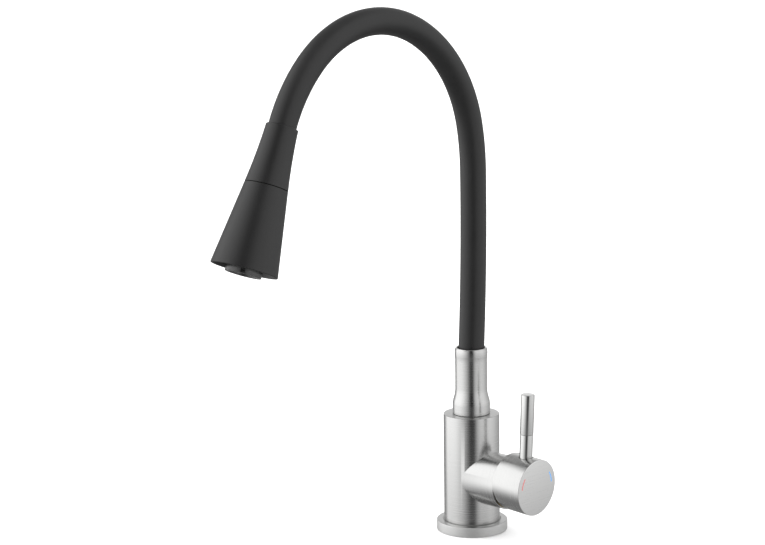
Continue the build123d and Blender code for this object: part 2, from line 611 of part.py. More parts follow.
with BuildPart() as split_ring:
    with BuildSketch(Plane.XY.offset(RING_GROOVE_Z + 0.5)):
        Circle(RING_GROOVE_R - 0.4)
        Circle(SPLIT_GROOVE_R + 0.1, mode=Mode.SUBTRACT)
        with Locations((0, RING_GROOVE_R)):
            Rectangle(2.5, 8, mode=Mode.SUBTRACT)
    extrude(amount=2.0)
split_ring.part.label = "split_ring"
export_step(split_ring.part, "parts/split_ring.step")

FERRULE_FLANGE_R = 9.6
FERRULE_TOP = 124.0
SLEEVE_FOOT_S = 17.0       # where the sleeve and the gooseneck start along the centre line

hose_ferrule_lower = turned([(WATER_BORE_R, SPIGOT_TOP + 0.05), (FERRULE_FLANGE_R, SPIGOT_TOP + 0.05),
                             (FERRULE_FLANGE_R, SPIGOT_TOP + 3), (WATER_HOSE_R + 1.4, SPIGOT_TOP + 3),
                             (WATER_HOSE_R + 1.4, FERRULE_TOP), (WATER_HOSE_R + FIT, FERRULE_TOP),
                             (WATER_HOSE_R + FIT, SPIGOT_TOP + 1), (WATER_BORE_R, SPIGOT_TOP + 1)], COLUMN)
hose_ferrule_lower.part.label = "hose_ferrule_lower"
export_step(hose_ferrule_lower.part, "parts/hose_ferrule_lower.step")


# ---------------------------------------------------------------- neck
def neck_runs():
    """The centre line as runs: (start, end, start point (y, z), start lean, radius, turn)."""
    point = Vector(0, NECK_FOOT_Z)
    lean = 0.0
    length = NECK_STRAIGHT
    runs = [(0.0, length, point, lean, 0.0, 0.0)]
    point = point + Vector(0, length)
    for radius, turn in NECK_ARCS:
        arc = radius * radians(abs(turn))
        runs.append((length, length + arc, point, lean, radius, turn))
        point = arc_point(point, lean, radius, turn)
        lean = lean + turn
        length = length + arc
    runs.append((length, length + NECK_TAIL, point, lean, 0.0, 0.0))
    return runs


def arc_point(point, lean, radius, turn):
    """End of an arc that starts at a point with a lean from upright towards -Y."""
    chord = 2 * radius * sin(radians(abs(turn)) / 2)
    middle = radians(lean + turn / 2)
    return point + Vector(-chord * sin(middle), chord * cos(middle))


NECK_RUNS = neck_runs()
HEAD_S = NECK_RUNS[-1][0]  # length at which the neck enters the spray head


def neck_state(s):
    """Point (y, z) of the centre line and its lean, in degrees, at a length s."""
    for start, end, point, lean, radius, turn in NECK_RUNS:
        if s <= end + 1e-6:
            break
    part_turn = turn * (s - start) / (end - start)
    if radius == 0.0:
        along = Vector(-sin(radians(lean)), cos(radians(lean)))
        return point + along * (s - start), lean
    return arc_point(point, lean, radius, part_turn), lean + part_turn


def neck_point(s):
    point, lean = neck_state(s)
    return Vector(0, point.X, point.Y)


def neck_heading(s):
    point, lean = neck_state(s)
    return Vector(0, -sin(radians(lean)), cos(radians(lean)))


def neck_tube(outer, inner, low, high):
    """Tube swept along the centre line from one length to another."""
    with BuildPart() as tube:
        with BuildLine(Plane.YZ):
            for start, end, point, lean, radius, turn in NECK_RUNS:
                first = max(start, low)
                last = min(end, high)
                if last - first < 0.01:
                    continue
                if radius == 0.0:
                    Line(neck_point(first), neck_point(last))
                    continue
                JernArc(start=neck_point(first), tangent=neck_heading(first), radius=radius,
                        arc_size=turn * (last - first) / (end - start))
        with BuildSketch(Plane(origin=neck_point(low), z_dir=neck_heading(low))):
            Circle(outer)
            Circle(inner, mode=Mode.SUBTRACT)
        sweep()
    return tube


def near_cut(s):
    """Hollow half ball behind a pivot: it leaves the near end of a stretch round, as a ball."""
    with BuildPart() as cut:
        with Locations(neck_point(s)):
            Sphere(2.2 * PIVOT_BALL)
            Sphere(PIVOT_BALL, mode=Mode.SUBTRACT)
        split(bisect_by=Plane(origin=neck_point(s), z_dir=neck_heading(s)), keep=Keep.BOTTOM)
    return cut


def neck_stretch(outer, inner, low, high, near_pivot, far_pivot):
    """One layer of one stretch, round at its near pivot and hollowed at its far one."""
    if near_pivot:
        low = near_pivot - PIVOT_BALL - 1
    if far_pivot:
        high = far_pivot
    tube = neck_tube(outer, inner, low, high)
    with BuildPart() as stretch:
        add(tube.part)
        if near_pivot:
            add(near_cut(near_pivot).part, mode=Mode.SUBTRACT)
        if far_pivot:
            with Locations(neck_point(far_pivot)):
                Sphere(PIVOT_BALL + CLEAR, mode=Mode.SUBTRACT)
    return stretch


SLEEVE_END_S = HEAD_S + 8.0
HOSE_END_S = HEAD_S + 19.5
HOSE_FOOT_S = 1.1
LAYERS = {"neck_sleeve": (SLEEVE_R, GOOSENECK_R + 0.1, SLEEVE_FOOT_S, SLEEVE_END_S),
          "gooseneck": (GOOSENECK_R, GOOSENECK_IN, SLEEVE_FOOT_S, SLEEVE_END_S),
          "water_hose": (WATER_HOSE_R, WATER_BORE_R, HOSE_FOOT_S, HOSE_END_S)}
near_pivots = [None] + NECK_PIVOTS
far_pivots = NECK_PIVOTS + [None]
for layer, (outer, inner, low, high) in LAYERS.items():
    for index, (near, far) in enumerate(zip(near_pivots, far_pivots)):
        stretch = neck_stretch(outer, inner, low, high, near, far)
        stretch.part.label = f"{layer}_{index}"
        export_step(stretch.part, f"parts/{layer}_{index}.step")

# ---------------------------------------------------------------- spray head, hose end and grip
HEAD_TOP = neck_point(HEAD_S)
HEAD_ALONG = neck_heading(HEAD_S)
HEAD = section_plane(HEAD_TOP, HEAD_ALONG, (1, 0, 0))


def head_plane(depth):
    """Plane across the head's axis at a depth below its top rim."""
    return Plane(origin=HEAD_TOP + HEAD_ALONG * depth, x_dir=(1, 0, 0), z_dir=HEAD_ALONG)


UPPER_FLANGE = 20.0        # depth of the upper ferrule's flange
UPPER_FLANGE_T = 4.0
FERRULE_R = 8.0
WALL = 2.4
SEAM_GAP = 0.35
CONE_SLOPE = (HEAD_MOUTH_R - HEAD_SEAM_R) / CONE_LENGTH
GRIP_SLOPE = 2 * (HEAD_SEAM_R - HEAD_TOP_R) / GRIP_LENGTH - CONE_SLOPE
CONE_TOP = GRIP_LENGTH + SEAM_GAP
HEAD_LENGTH = GRIP_LENGTH + CONE_LENGTH

UPPER_FERRULE_TOP = SLEEVE_END_S - HEAD_S + 0.3
hose_ferrule_upper = turned([(WATER_HOSE_R + FIT, UPPER_FERRULE_TOP), (FERRULE_R, UPPER_FERRULE_TOP),
                             (FERRULE_R, UPPER_FLANGE), (FERRULE_FLANGE_R, UPPER_FLANGE),
                             (FERRULE_FLANGE_R, UPPER_FLANGE + UPPER_FLANGE_T),
                             (WATER_BORE_R, UPPER_FLANGE + UPPER_FLANGE_T), (WATER_BORE_R, UPPER_FLANGE),
                             (WATER_HOSE_R + FIT, UPPER_FLANGE)], HEAD)
hose_ferrule_upper.part.label = "hose_ferrule_upper"
export_step(hose_ferrule_upper.part, "parts/hose_ferrule_upper.step")

# the grip's flare is one hollow curve that runs on into the straight cone
GRIP_FLARE = [(HEAD_TOP_R, 0.8), (HEAD_TOP_R + GRIP_SLOPE * GRIP_LENGTH / 2, GRIP_LENGTH / 2),
              (HEAD_SEAM_R, GRIP_LENGTH)]
SOCKET_R = 11.0            # outside of the diverter's threaded socket
BULKHEAD = 38.0            # depth of the grip's inner shoulder

with BuildPart() as head_grip:
    with BuildSketch(HEAD):
        with BuildLine():
            Line((SLEEVE_R + CLEAR, 0), (HEAD_TOP_R - 0.8, 0))
            Line((HEAD_TOP_R - 0.8, 0), GRIP_FLARE[0])
            Bezier(*GRIP_FLARE)
            Polyline(GRIP_FLARE[2], (HEAD_SEAM_R - WALL, GRIP_LENGTH), (HEAD_SEAM_R - WALL - 0.4, BULKHEAD),
                     (SOCKET_R + FIT, BULKHEAD), (SOCKET_R + FIT, 9), (SLEEVE_R + CLEAR, 9),
                     (SLEEVE_R + CLEAR, 0))
        make_face()
    revolve(axis=Axis(HEAD.origin, HEAD.y_dir))
head_grip.part.label = "head_grip"
export_step(head_grip.part, "parts/head_grip.step")

swivel_nut = turned(ring(FERRULE_R + CLEAR, SOCKET_R - 1.2 - FIT, 10, UPPER_FLANGE - CLEAR), HEAD)
swivel_nut.part.label = "swivel_nut"
export_step(swivel_nut.part, "parts/swivel_nut.step")

WASHER_TOP = UPPER_FLANGE + UPPER_FLANGE_T + FIT
SOCKET_FLOOR_DEPTH = WASHER_TOP + 1.8
head_washer = turned(ring(WATER_BORE_R + 0.5, SOCKET_R - 1.3, WASHER_TOP, SOCKET_FLOOR_DEPTH), HEAD)
head_washer.part.label = "head_washer"
export_step(head_washer.part, "parts/head_washer.step")

SPINDLE_R = 7.0            # the cone turns on the diverter's spindle
SPINDLE_END = 68.0
CORE_BORE_R = 3.5
CORE_RING_DEPTHS = [53.0, 61.0]
CORE_RING_T = 1.6
SOCKET_IN = SOCKET_R - 1.2
CORE_FLANGE_R = HEAD_SEAM_R - WALL - 0.7

with BuildPart() as diverter_core:
    with BuildSketch(HEAD):
        with BuildLine():
            Polyline((CORE_BORE_R, SOCKET_FLOOR_DEPTH), (SOCKET_IN, SOCKET_FLOOR_DEPTH), (SOCKET_IN, 9.1),
                     (SOCKET_R, 9.1), (SOCKET_R, BULKHEAD + 0.05), (CORE_FLANGE_R, BULKHEAD + 0.05),
                     (CORE_FLANGE_R, BULKHEAD + 4), (SPINDLE_R, BULKHEAD + 4),
                     (SPINDLE_R, SPINDLE_END), (CORE_BORE_R, SPINDLE_END), close=True)
        make_face()
    revolve(axis=Axis(HEAD.origin, HEAD.y_dir))
    for depth in CORE_RING_DEPTHS:
        with BuildSketch(HEAD):
            with BuildLine():
                Polyline(*ring(SPINDLE_R - CORE_RING_T, SPINDLE_R + 1, depth - 1, depth + 1), close=True)
            make_face()
        revolve(axis=Axis(HEAD.origin, HEAD.y_dir), mode=Mode.SUBTRACT)
diverter_core.part.label = "diverter_core"
export_step(diverter_core.part, "parts/diverter_core.step")

core_ring_r = SPINDLE_R - CORE_RING_T / 2 + 0.02
spindle_rings = [o_ring(HEAD, core_ring_r, depth, CORE_RING_T) for depth in CORE_RING_DEPTHS]
core_o_rings = Compound(label="core_o_rings", children=[one.part for one in spindle_rings])
export_step(core_o_rings, "parts/core_o_rings.step")

# ---------------------------------------------------------------- spray head, turning cone
HUB_R = 10.0
HUB_TOP = 47.0
WEB_DEPTH = 74.0
WEB_T = 3.0
SPRAY_DEPTH = 98.5
SPRAY_T = 3.5
NOZZLE_RINGS = [(17.0, 16), (20.0, 20)]
NOZZLE_R = 0.9
JET_R = 0.4
AERATOR_TOP = 82.0
AERATOR_END = HEAD_LENGTH + 3.2
AERATOR_BORE = 11.0
NOTCHES = 2
NOTCH_ANGLE = 46.0
NOZZLE_PROUD = 1.2
REGULATOR_T = 3.0
SCREEN_T = 1.6
SCREEN_PITCH = 2.6
SCREEN_BAR = 0.7
SCREEN_CELLS = 9


def cone_radius(depth):
    """Outside radius of the cone at a depth below the head's top rim."""
    return HEAD_SEAM_R + CONE_SLOPE * (depth - GRIP_LENGTH)


def cone_bore(depth):
    return cone_radius(depth) - WALL


with BuildPart() as cone_shell:
    with BuildSketch(HEAD):
        with BuildLine():
            Polyline((cone_bore(CONE_TOP + 2) - 2.6, CONE_TOP), (cone_radius(CONE_TOP), CONE_TOP),
                     (cone_radius(HEAD_LENGTH - 0.8), HEAD_LENGTH - 0.8), (HEAD_MOUTH_R - 0.8, HEAD_LENGTH),
                     (HEAD_MOUTH_R - 1.8, HEAD_LENGTH), (cone_bore(SPRAY_DEPTH), SPRAY_DEPTH),
                     (cone_bore(CONE_TOP + 2), CONE_TOP + 2), (cone_bore(CONE_TOP + 2) - 2.6, CONE_TOP + 2),
                     close=True)
        make_face()
    revolve(axis=Axis(HEAD.origin, HEAD.y_dir))
cone_shell.part.label = "cone_shell"
export_step(cone_shell.part, "parts/cone_shell.step")

with BuildPart() as flow_distributor:
    with BuildSketch(HEAD):
        with BuildLine():
            Polyline((SPINDLE_R + FIT, HUB_TOP), (HUB_R, HUB_TOP), (HUB_R, WEB_DEPTH),
                     (cone_bore(WEB_DEPTH) - 0.1, WEB_DEPTH),
                     (cone_bore(WEB_DEPTH + WEB_T) - 0.1, WEB_DEPTH + WEB_T),
                     (4.0, WEB_DEPTH + WEB_T), (4.0, SPINDLE_END + 1), (SPINDLE_R + FIT, SPINDLE_END + 1),
                     close=True)
        make_face()
    revolve(axis=Axis(HEAD.origin, HEAD.y_dir))
    # windows that feed the spray chamber
    with BuildSketch(head_plane(WEB_DEPTH - 0.5)):
        with PolarLocations((HUB_R + cone_bore(WEB_DEPTH)) / 2, 8):
            Circle(1.6)
    extrude(amount=WEB_T + 1, mode=Mode.SUBTRACT)
flow_distributor.part.label = "flow_distributor"
export_step(flow_distributor.part, "parts/flow_distributor.step")

NOTCH_WIDTH = 2.6
NOTCH_DEPTH = 1.4
NOTCH_HEIGHT = 2.2
NOTCH_LAND = 0.9           # left between each pocket and the housing's end

with BuildPart() as aerator_housing:
    with BuildSketch(HEAD):
        with BuildLine():
            Polyline((AERATOR_BORE, AERATOR_TOP), (AERATOR_R, AERATOR_TOP), (AERATOR_R, AERATOR_END - 0.5),
                     (AERATOR_R - 0.5, AERATOR_END), (AERATOR_BORE, AERATOR_END), close=True)
        make_face()
    revolve(axis=Axis(HEAD.origin, HEAD.y_dir))
    # pockets in its side for the key that unscrews it
    with BuildSketch(head_plane(AERATOR_END - NOTCH_LAND - NOTCH_HEIGHT)):
        with PolarLocations(AERATOR_R, NOTCHES, start_angle=NOTCH_ANGLE):
            Rectangle(2 * NOTCH_DEPTH, NOTCH_WIDTH)
    extrude(amount=NOTCH_HEIGHT, mode=Mode.SUBTRACT)
aerator_housing.part.label = "aerator_housing"
export_step(aerator_housing.part, "parts/aerator_housing.step")

with BuildPart() as spray_face:
    with BuildSketch(HEAD):
        with BuildLine():
            Polyline((AERATOR_R + 0.1, SPRAY_DEPTH), (cone_bore(SPRAY_DEPTH) - 0.1, SPRAY_DEPTH),
                     (cone_bore(SPRAY_DEPTH) - 0.1, SPRAY_DEPTH + SPRAY_T),
                     (AERATOR_R + 0.1, SPRAY_DEPTH + SPRAY_T), close=True)
        make_face()
    revolve(axis=Axis(HEAD.origin, HEAD.y_dir))
    for nozzle_ring, nozzle_count in NOZZLE_RINGS:
        with BuildSketch(head_plane(SPRAY_DEPTH)):
            with PolarLocations(nozzle_ring, nozzle_count):
                Circle(NOZZLE_R + FIT)
        extrude(amount=SPRAY_T, mode=Mode.SUBTRACT)
spray_face.part.label = "spray_face"
export_step(spray_face.part, "parts/spray_face.step")

with BuildPart() as spray_nozzles:
    for nozzle_ring, nozzle_count in NOZZLE_RINGS:
        with BuildSketch(head_plane(SPRAY_DEPTH)):
            with PolarLocations(nozzle_ring, nozzle_count):
                Circle(NOZZLE_R)
                Circle(JET_R, mode=Mode.SUBTRACT)
        extrude(amount=SPRAY_T + NOZZLE_PROUD)
spray_nozzles.part.label = "spray_nozzles"
export_step(spray_nozzles.part, "parts/spray_nozzles.step")

with BuildPart() as flow_regulator:
    with BuildSketch(head_plane(AERATOR_TOP + 6)):
        Circle(AERATOR_BORE - FIT)
        with PolarLocations(6.5, 8):
            Circle(1.5, mode=Mode.SUBTRACT)
    extrude(amount=REGULATOR_T)
flow_regulator.part.label = "flow_regulator"
export_step(flow_regulator.part, "parts/flow_regulator.step")

# straightener screen at the mouth: thin bars both ways inside a rim
with BuildPart() as aerator_screen:
    with BuildSketch(head_plane(AERATOR_END - 3.6)):
        Circle(AERATOR_BORE - FIT)
        with GridLocations(SCREEN_PITCH, SCREEN_PITCH, SCREEN_CELLS, SCREEN_CELLS) as cells:
            inside = [cell for cell in cells if cell.position.length < AERATOR_BORE - SCREEN_PITCH]
        with Locations(inside):
            Rectangle(SCREEN_PITCH - SCREEN_BAR, SCREEN_PITCH - SCREEN_BAR, mode=Mode.SUBTRACT)
    extrude(amount=SCREEN_T)
aerator_screen.part.label = "aerator_screen"
export_step(aerator_screen.part, "parts/aerator_screen.step")
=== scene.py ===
import json
from math import acos, cos, hypot, pi, radians, sin, tan

import bmesh
import bpy
from mathutils import Matrix, Vector


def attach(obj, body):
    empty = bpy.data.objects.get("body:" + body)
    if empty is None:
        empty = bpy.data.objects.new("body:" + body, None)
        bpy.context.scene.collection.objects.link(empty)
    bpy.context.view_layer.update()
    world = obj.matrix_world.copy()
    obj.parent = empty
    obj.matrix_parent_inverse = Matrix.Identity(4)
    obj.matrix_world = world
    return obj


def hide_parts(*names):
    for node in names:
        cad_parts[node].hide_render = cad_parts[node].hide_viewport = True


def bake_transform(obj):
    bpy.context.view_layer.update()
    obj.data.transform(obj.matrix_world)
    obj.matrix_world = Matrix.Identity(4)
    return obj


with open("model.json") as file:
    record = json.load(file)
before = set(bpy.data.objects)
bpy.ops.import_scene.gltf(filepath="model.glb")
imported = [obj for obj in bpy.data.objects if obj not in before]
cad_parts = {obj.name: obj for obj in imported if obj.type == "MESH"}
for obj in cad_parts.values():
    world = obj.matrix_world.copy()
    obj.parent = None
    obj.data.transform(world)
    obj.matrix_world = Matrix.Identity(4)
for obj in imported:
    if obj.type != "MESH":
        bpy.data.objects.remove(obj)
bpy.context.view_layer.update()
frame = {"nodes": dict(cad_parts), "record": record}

# A single-lever kitchen mixer with a flexible silicone neck, dressed around its CAD frame.
# Lengths in this file are written in millimetres and turned to metres by MM.
MM = 0.001
NODES = frame["nodes"]

# ---------------------------------------------------------------- driving dimensions
BASE_R, BASE_H, BASE_IN = 28.6, 8.0, 18.6
SPIGOT_R, SPIGOT_TOP = 20.9, 14.0      # ring that stands up inside the body's foot
BODY_R, BODY_WALL, BODY_TOP, TOP_WALL = 22.5, 1.5, 95.5, 5.0
TOP_HOLE_R = 12.45                     # hole for the swivel spigot in the body's top
BRANCH_R, BRANCH_WALL, BRANCH_Z, BRANCH_END = 21.2, 1.0, 45.0, 41.0
COLLAR_FOOT, COLLAR_TOP = 95.8, 149.5
COLLAR_FOOT_R, COLLAR_NECK_R, COLLAR_LIP_R, LIP_CREST_R = 15.05, 12.85, 13.2, 11.9
SHOULDER_LOW, SHOULDER_HIGH, LIP_LOW, LIP_WIDEST = 102.8, 117.0, 138.0, 145.5
HANDLE_R, HANDLE_DEPTH, CAP_WALL, CAP_FACE_T = 22.5, 27.0, 2.2, 4.0
HANDLE_FACE = Vector((68.5, 0, 46.2))
HANDLE_DROOP = radians(2.6)
SKIRT_IN, SKIRT_START = 21.5, 20.0     # thinned rear skirt of the handle cap
BEVEL, BEVEL_REACH = radians(13.5), 30.0    # slope of the cap's rear rim below mid-height
BOSS_R, BOSS_BORE_R, BOSS_DEPTH = 8.5, 5.7, 25.0
PIVOT = Vector((32.0, 0, 45.0))
ROD_BEHIND_FACE, ROD_LENGTH, ROD_SEAM = 12.3, 50.9, 18.6
ROD_FOOT_R, ROD_SLEEVE_R, ROD_HOLE_R = 5.2, 5.4, 5.6
ROD_SUNK, ROD_GAP = 3.1, 0.12
MARK_RADIUS, MARK_WIDTH, MARK_LIFT, MARK_SPAN = 17.7, 0.9, 20.0, 30.0
MARK_CROWN, MARK_DEPTH, MARK_SINK = 0.06, 0.12, 0.01
SLEEVE_R, SLEEVE_IN, GOOSENECK_R, GOOSENECK_IN = 10.35, 8.4, 8.3, 6.6
WIRE_PITCH, WIRE_GROOVE = 2.8, 0.45    # winding of the gooseneck
WATER_HOSE_R, WATER_BORE_R = 5.9, 4.0
SLEEVE_FOOT_S, HOSE_FOOT_S = 17.0, 1.1     # lengths at which the neck's layers start
SLEEVE_INSIDE_HEAD, HOSE_INSIDE_HEAD = 8.0, 19.5
HEAD_TOP_R, HEAD_SEAM_R, HEAD_MOUTH_R = 11.95, 16.0, 24.8
GRIP_LENGTH, CONE_LENGTH, WALL = 44.3, 62.0, 2.4
GRIP_MOUTH_R, GRIP_BORE_R, GRIP_STEP, GRIP_FLOOR = 10.65, 11.05, 9.0, 38.0
SEAM_GAP = 0.35
AERATOR_R, AERATOR_BORE, AERATOR_PROUD, AERATOR_TOP = 13.4, 11.0, 3.2, 82.0
SPRAY_DEPTH, SPRAY_T, SPRAY_GAP = 98.5, 3.5, 0.12
NOZZLE_RINGS = [(17.0, 16), (20.0, 20)]    # (radius, how many)
FACE_GROOVE_R = 18.6                       # ring between the two rows of nozzles
# key pockets in the aerator's side; the first is NOTCH_ANGLE round from the head's local X
NOTCH_ANGLE, NOTCH_DEPTH, NOTCH_HALF_WIDTH, NOTCH_HEIGHT, NOTCH_LAND = 46.0, 1.4, 1.3, 2.2, 0.9

# the neck's centre line: an upright run, tangent arcs as (radius, turn in degrees), a last run
NECK_FOOT_Z, NECK_STRAIGHT, NECK_TAIL = 108.0, 31.0, 22.0
NECK_ARCS = [(100.0, -3.5), (1950.0, 4.3), (194.0, 10.8), (107.5, 52.7), (98.8, 69.6), (124.0, 24.1)]
NECK_PIVOTS = [86.0, 146.0, 208.0, 274.0, 342.0, 410.0]

# ---------------------------------------------------------------- camera
CAMERA_AZIMUTH, CAMERA_ELEVATION, CAMERA_ROLL = radians(44.55), radians(9.96), radians(-0.79)
CAMERA_DISTANCE, CAMERA_AIM = 1593.3, Vector((-49.8, -49.0, 210.9))
LENS_MM = 94.5


def make_camera():
    """Camera set by its direction from the aim point, its distance and its roll."""
    a, e = CAMERA_AZIMUTH, CAMERA_ELEVATION
    back = Vector((sin(a) * cos(e), -cos(a) * cos(e), sin(e)))
    right = Vector((cos(a), sin(a), 0))
    up = back.cross(right)
    rolled_right = right * cos(CAMERA_ROLL) + up * sin(CAMERA_ROLL)
    rolled_up = up * cos(CAMERA_ROLL) - right * sin(CAMERA_ROLL)
    data = bpy.data.cameras.new("camera")
    data.lens = LENS_MM
    data.sensor_width = 36.0
    camera = bpy.data.objects.new("camera", data)
    bpy.context.scene.collection.objects.link(camera)
    turn = Matrix((rolled_right, rolled_up, back)).transposed()
    camera.matrix_world = Matrix.Translation((CAMERA_AIM + back * CAMERA_DISTANCE) * MM) @ turn.to_4x4()
    bpy.context.scene.camera = camera


# ---------------------------------------------------------------- mesh helpers
def placed(origin, along, across):
    """Matrix whose local Z runs along a part's axis and whose local X points across it, in metres."""
    z = Vector(along).normalized()
    x = Vector(across).normalized()
    y = z.cross(x)
    turn = Matrix((x, y, z)).transposed().to_4x4()
    return Matrix.Translation(Vector(origin) * MM) @ turn


UPRIGHT = Matrix.Identity(4)
BRANCH = placed((0, 0, BRANCH_Z), (1, 0, 0), (0, 0, 1))
OUTWARD = Vector((cos(HANDLE_DROOP), 0, -sin(HANDLE_DROOP)))
UPWARD = Vector((sin(HANDLE_DROOP), 0, cos(HANDLE_DROOP)))
HANDLE = placed(HANDLE_FACE, OUTWARD, UPWARD)
ROD = placed(HANDLE_FACE - OUTWARD * ROD_BEHIND_FACE, UPWARD, (0, 1, 0))


def corner(before, point, after, radius, steps=5):
    """A corner of an outline rounded to a radius, as a short run of points."""
    p = Vector(point)
    a = Vector(before) - p
    b = Vector(after) - p
    if radius <= 0 or a.length < 1e-6 or b.length < 1e-6:
        return [tuple(p)]
    a_unit, b_unit = a.normalized(), b.normalized()
    half = acos(max(-1, min(1, a_unit.dot(b_unit)))) / 2
    reach = min(radius / tan(half), a.length * 0.49, b.length * 0.49)
    radius = reach * tan(half)
    start, end = p + a_unit * reach, p + b_unit * reach
    centre = p + (a_unit + b_unit).normalized() * (radius / sin(half))
    points = []
    for k in range(steps + 1):
        mixed = start.lerp(end, k / steps) - centre
        points.append(tuple(centre + mixed.normalized() * radius))
    return points


def outline(corners, closed=True):
    """Points of an outline given as (radius, height) or (radius, height, rounding)."""
    points = []
    count = len(corners)
    for k, c in enumerate(corners):
        rounding = c[2] if len(c) > 2 else 0
        if not closed and k in (0, count - 1):
            rounding = 0
        before, after = corners[k - 1], corners[(k + 1) % count]
        points += corner(before[:2], c[:2], after[:2], rounding)
    return points


def bezier(a, b, c, d, steps=14):
    """Points of a cubic curve, its first point left out so that runs can follow each other."""
    points = []
    for k in range(1, steps + 1):
        t = k / steps
        u = 1 - t
        points.append(tuple(u * u * u * p + 3 * u * u * t * q + 3 * u * t * t * r + t * t * t * s
                            for p, q, r, s in zip(a, b, c, d)))
    return points


def mesh_object(name, vertices, faces, matrix=UPRIGHT, sharp=32):
    mesh = bpy.data.meshes.new(name)
    mesh.from_pydata([Vector(v) * MM for v in vertices], [], faces)
    bm = bmesh.new()
    bm.from_mesh(mesh)
    bmesh.ops.remove_doubles(bm, verts=bm.verts, dist=1e-7)
    bmesh.ops.recalc_face_normals(bm, faces=bm.faces)
    bm.to_mesh(mesh)
    bm.free()
    finish_shading(mesh, sharp)
    piece = bpy.data.objects.new(name, mesh)
    bpy.context.scene.collection.objects.link(piece)
    piece.matrix_world = matrix
    return piece


def finish_shading(mesh, sharp=32):
    mesh.shade_smooth()
    mesh.set_sharp_from_angle(angle=radians(sharp))


def lathe(name, points, matrix=UPRIGHT, steps=192, sharp=32):
    """Closed outline of (radius, height) points turned about local Z."""
    vertices, rows = [], []
    for radius, height in points:
        row = []
        if radius < 1e-4:
            row = [len(vertices)] * steps
            vertices.append((0, 0, height))
        else:
            for k in range(steps):
                angle = 2 * pi * k / steps
                row.append(len(vertices))
                vertices.append((radius * cos(angle), radius * sin(angle), height))
        rows.append(row)
    faces = []
    for i, row in enumerate(rows):
        below = rows[(i + 1) % len(rows)]
        for k in range(steps):
            ring = [row[k], row[(k + 1) % steps], below[(k + 1) % steps], below[k]]
            face = [v for j, v in enumerate(ring) if v != ring[j - 1]]
            if len(set(face)) >= 3:
                faces.append(face)
    return mesh_object(name, vertices, faces, matrix, sharp)


def prism(name, points, low, high, matrix=UPRIGHT):
    """Flat outline of (x, y) points raised along local Z."""
    count = len(points)
    vertices = [(x, y, low) for x, y in points] + [(x, y, high) for x, y in points]
    faces = [list(range(count))[::-1], list(range(count, 2 * count))]
    faces += [[k, (k + 1) % count, count + (k + 1) % count, count + k] for k in range(count)]
    return mesh_object(name, vertices, faces, matrix)


def combine(piece, other, operation):
    """Applies a boolean with another piece, which is then removed."""
    modifier = piece.modifiers.new("cut", "BOOLEAN")
    modifier.object = other
    modifier.operation = operation
    modifier.solver = "EXACT"
    bpy.context.view_layer.update()
    depsgraph = bpy.context.evaluated_depsgraph_get()
    mesh = bpy.data.meshes.new_from_object(piece.evaluated_get(depsgraph))
    piece.modifiers.clear()
    piece.data = mesh
    bpy.data.objects.remove(other)
    finish_shading(mesh)
    return piece


def dress(piece, body, materials, nodes=()):
    """Gives a piece its materials and body, and hides the CAD nodes it stands for."""
    piece.data.materials.clear()
    for material in materials:
        piece.data.materials.append(material)
    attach(piece, body)
    if nodes:
        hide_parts(*nodes)
    return piece


def flat_faces(piece, axis, index, limit=0.8):
    """Gives faces that look along a local axis another material index."""
    direction = Vector(axis)
    for polygon in piece.data.polygons:
        if abs(polygon.normal.dot(direction)) > limit:
            polygon.material_index = index


# ---------------------------------------------------------------- material helpers
EDGE_STARTS, EDGE_WORN = 0.52, 0.60    # pointiness at which wear on an edge starts and is complete
GRAIN_DEPTH = 0.00001                  # of the brushing, in m
# brushing is fine hairs and broader streaks, which differ from the plain steel by the contrast
STREAK_SCALE, STREAK_SHARE, BRUSH_CONTRAST = 0.16, 0.38, 0.07


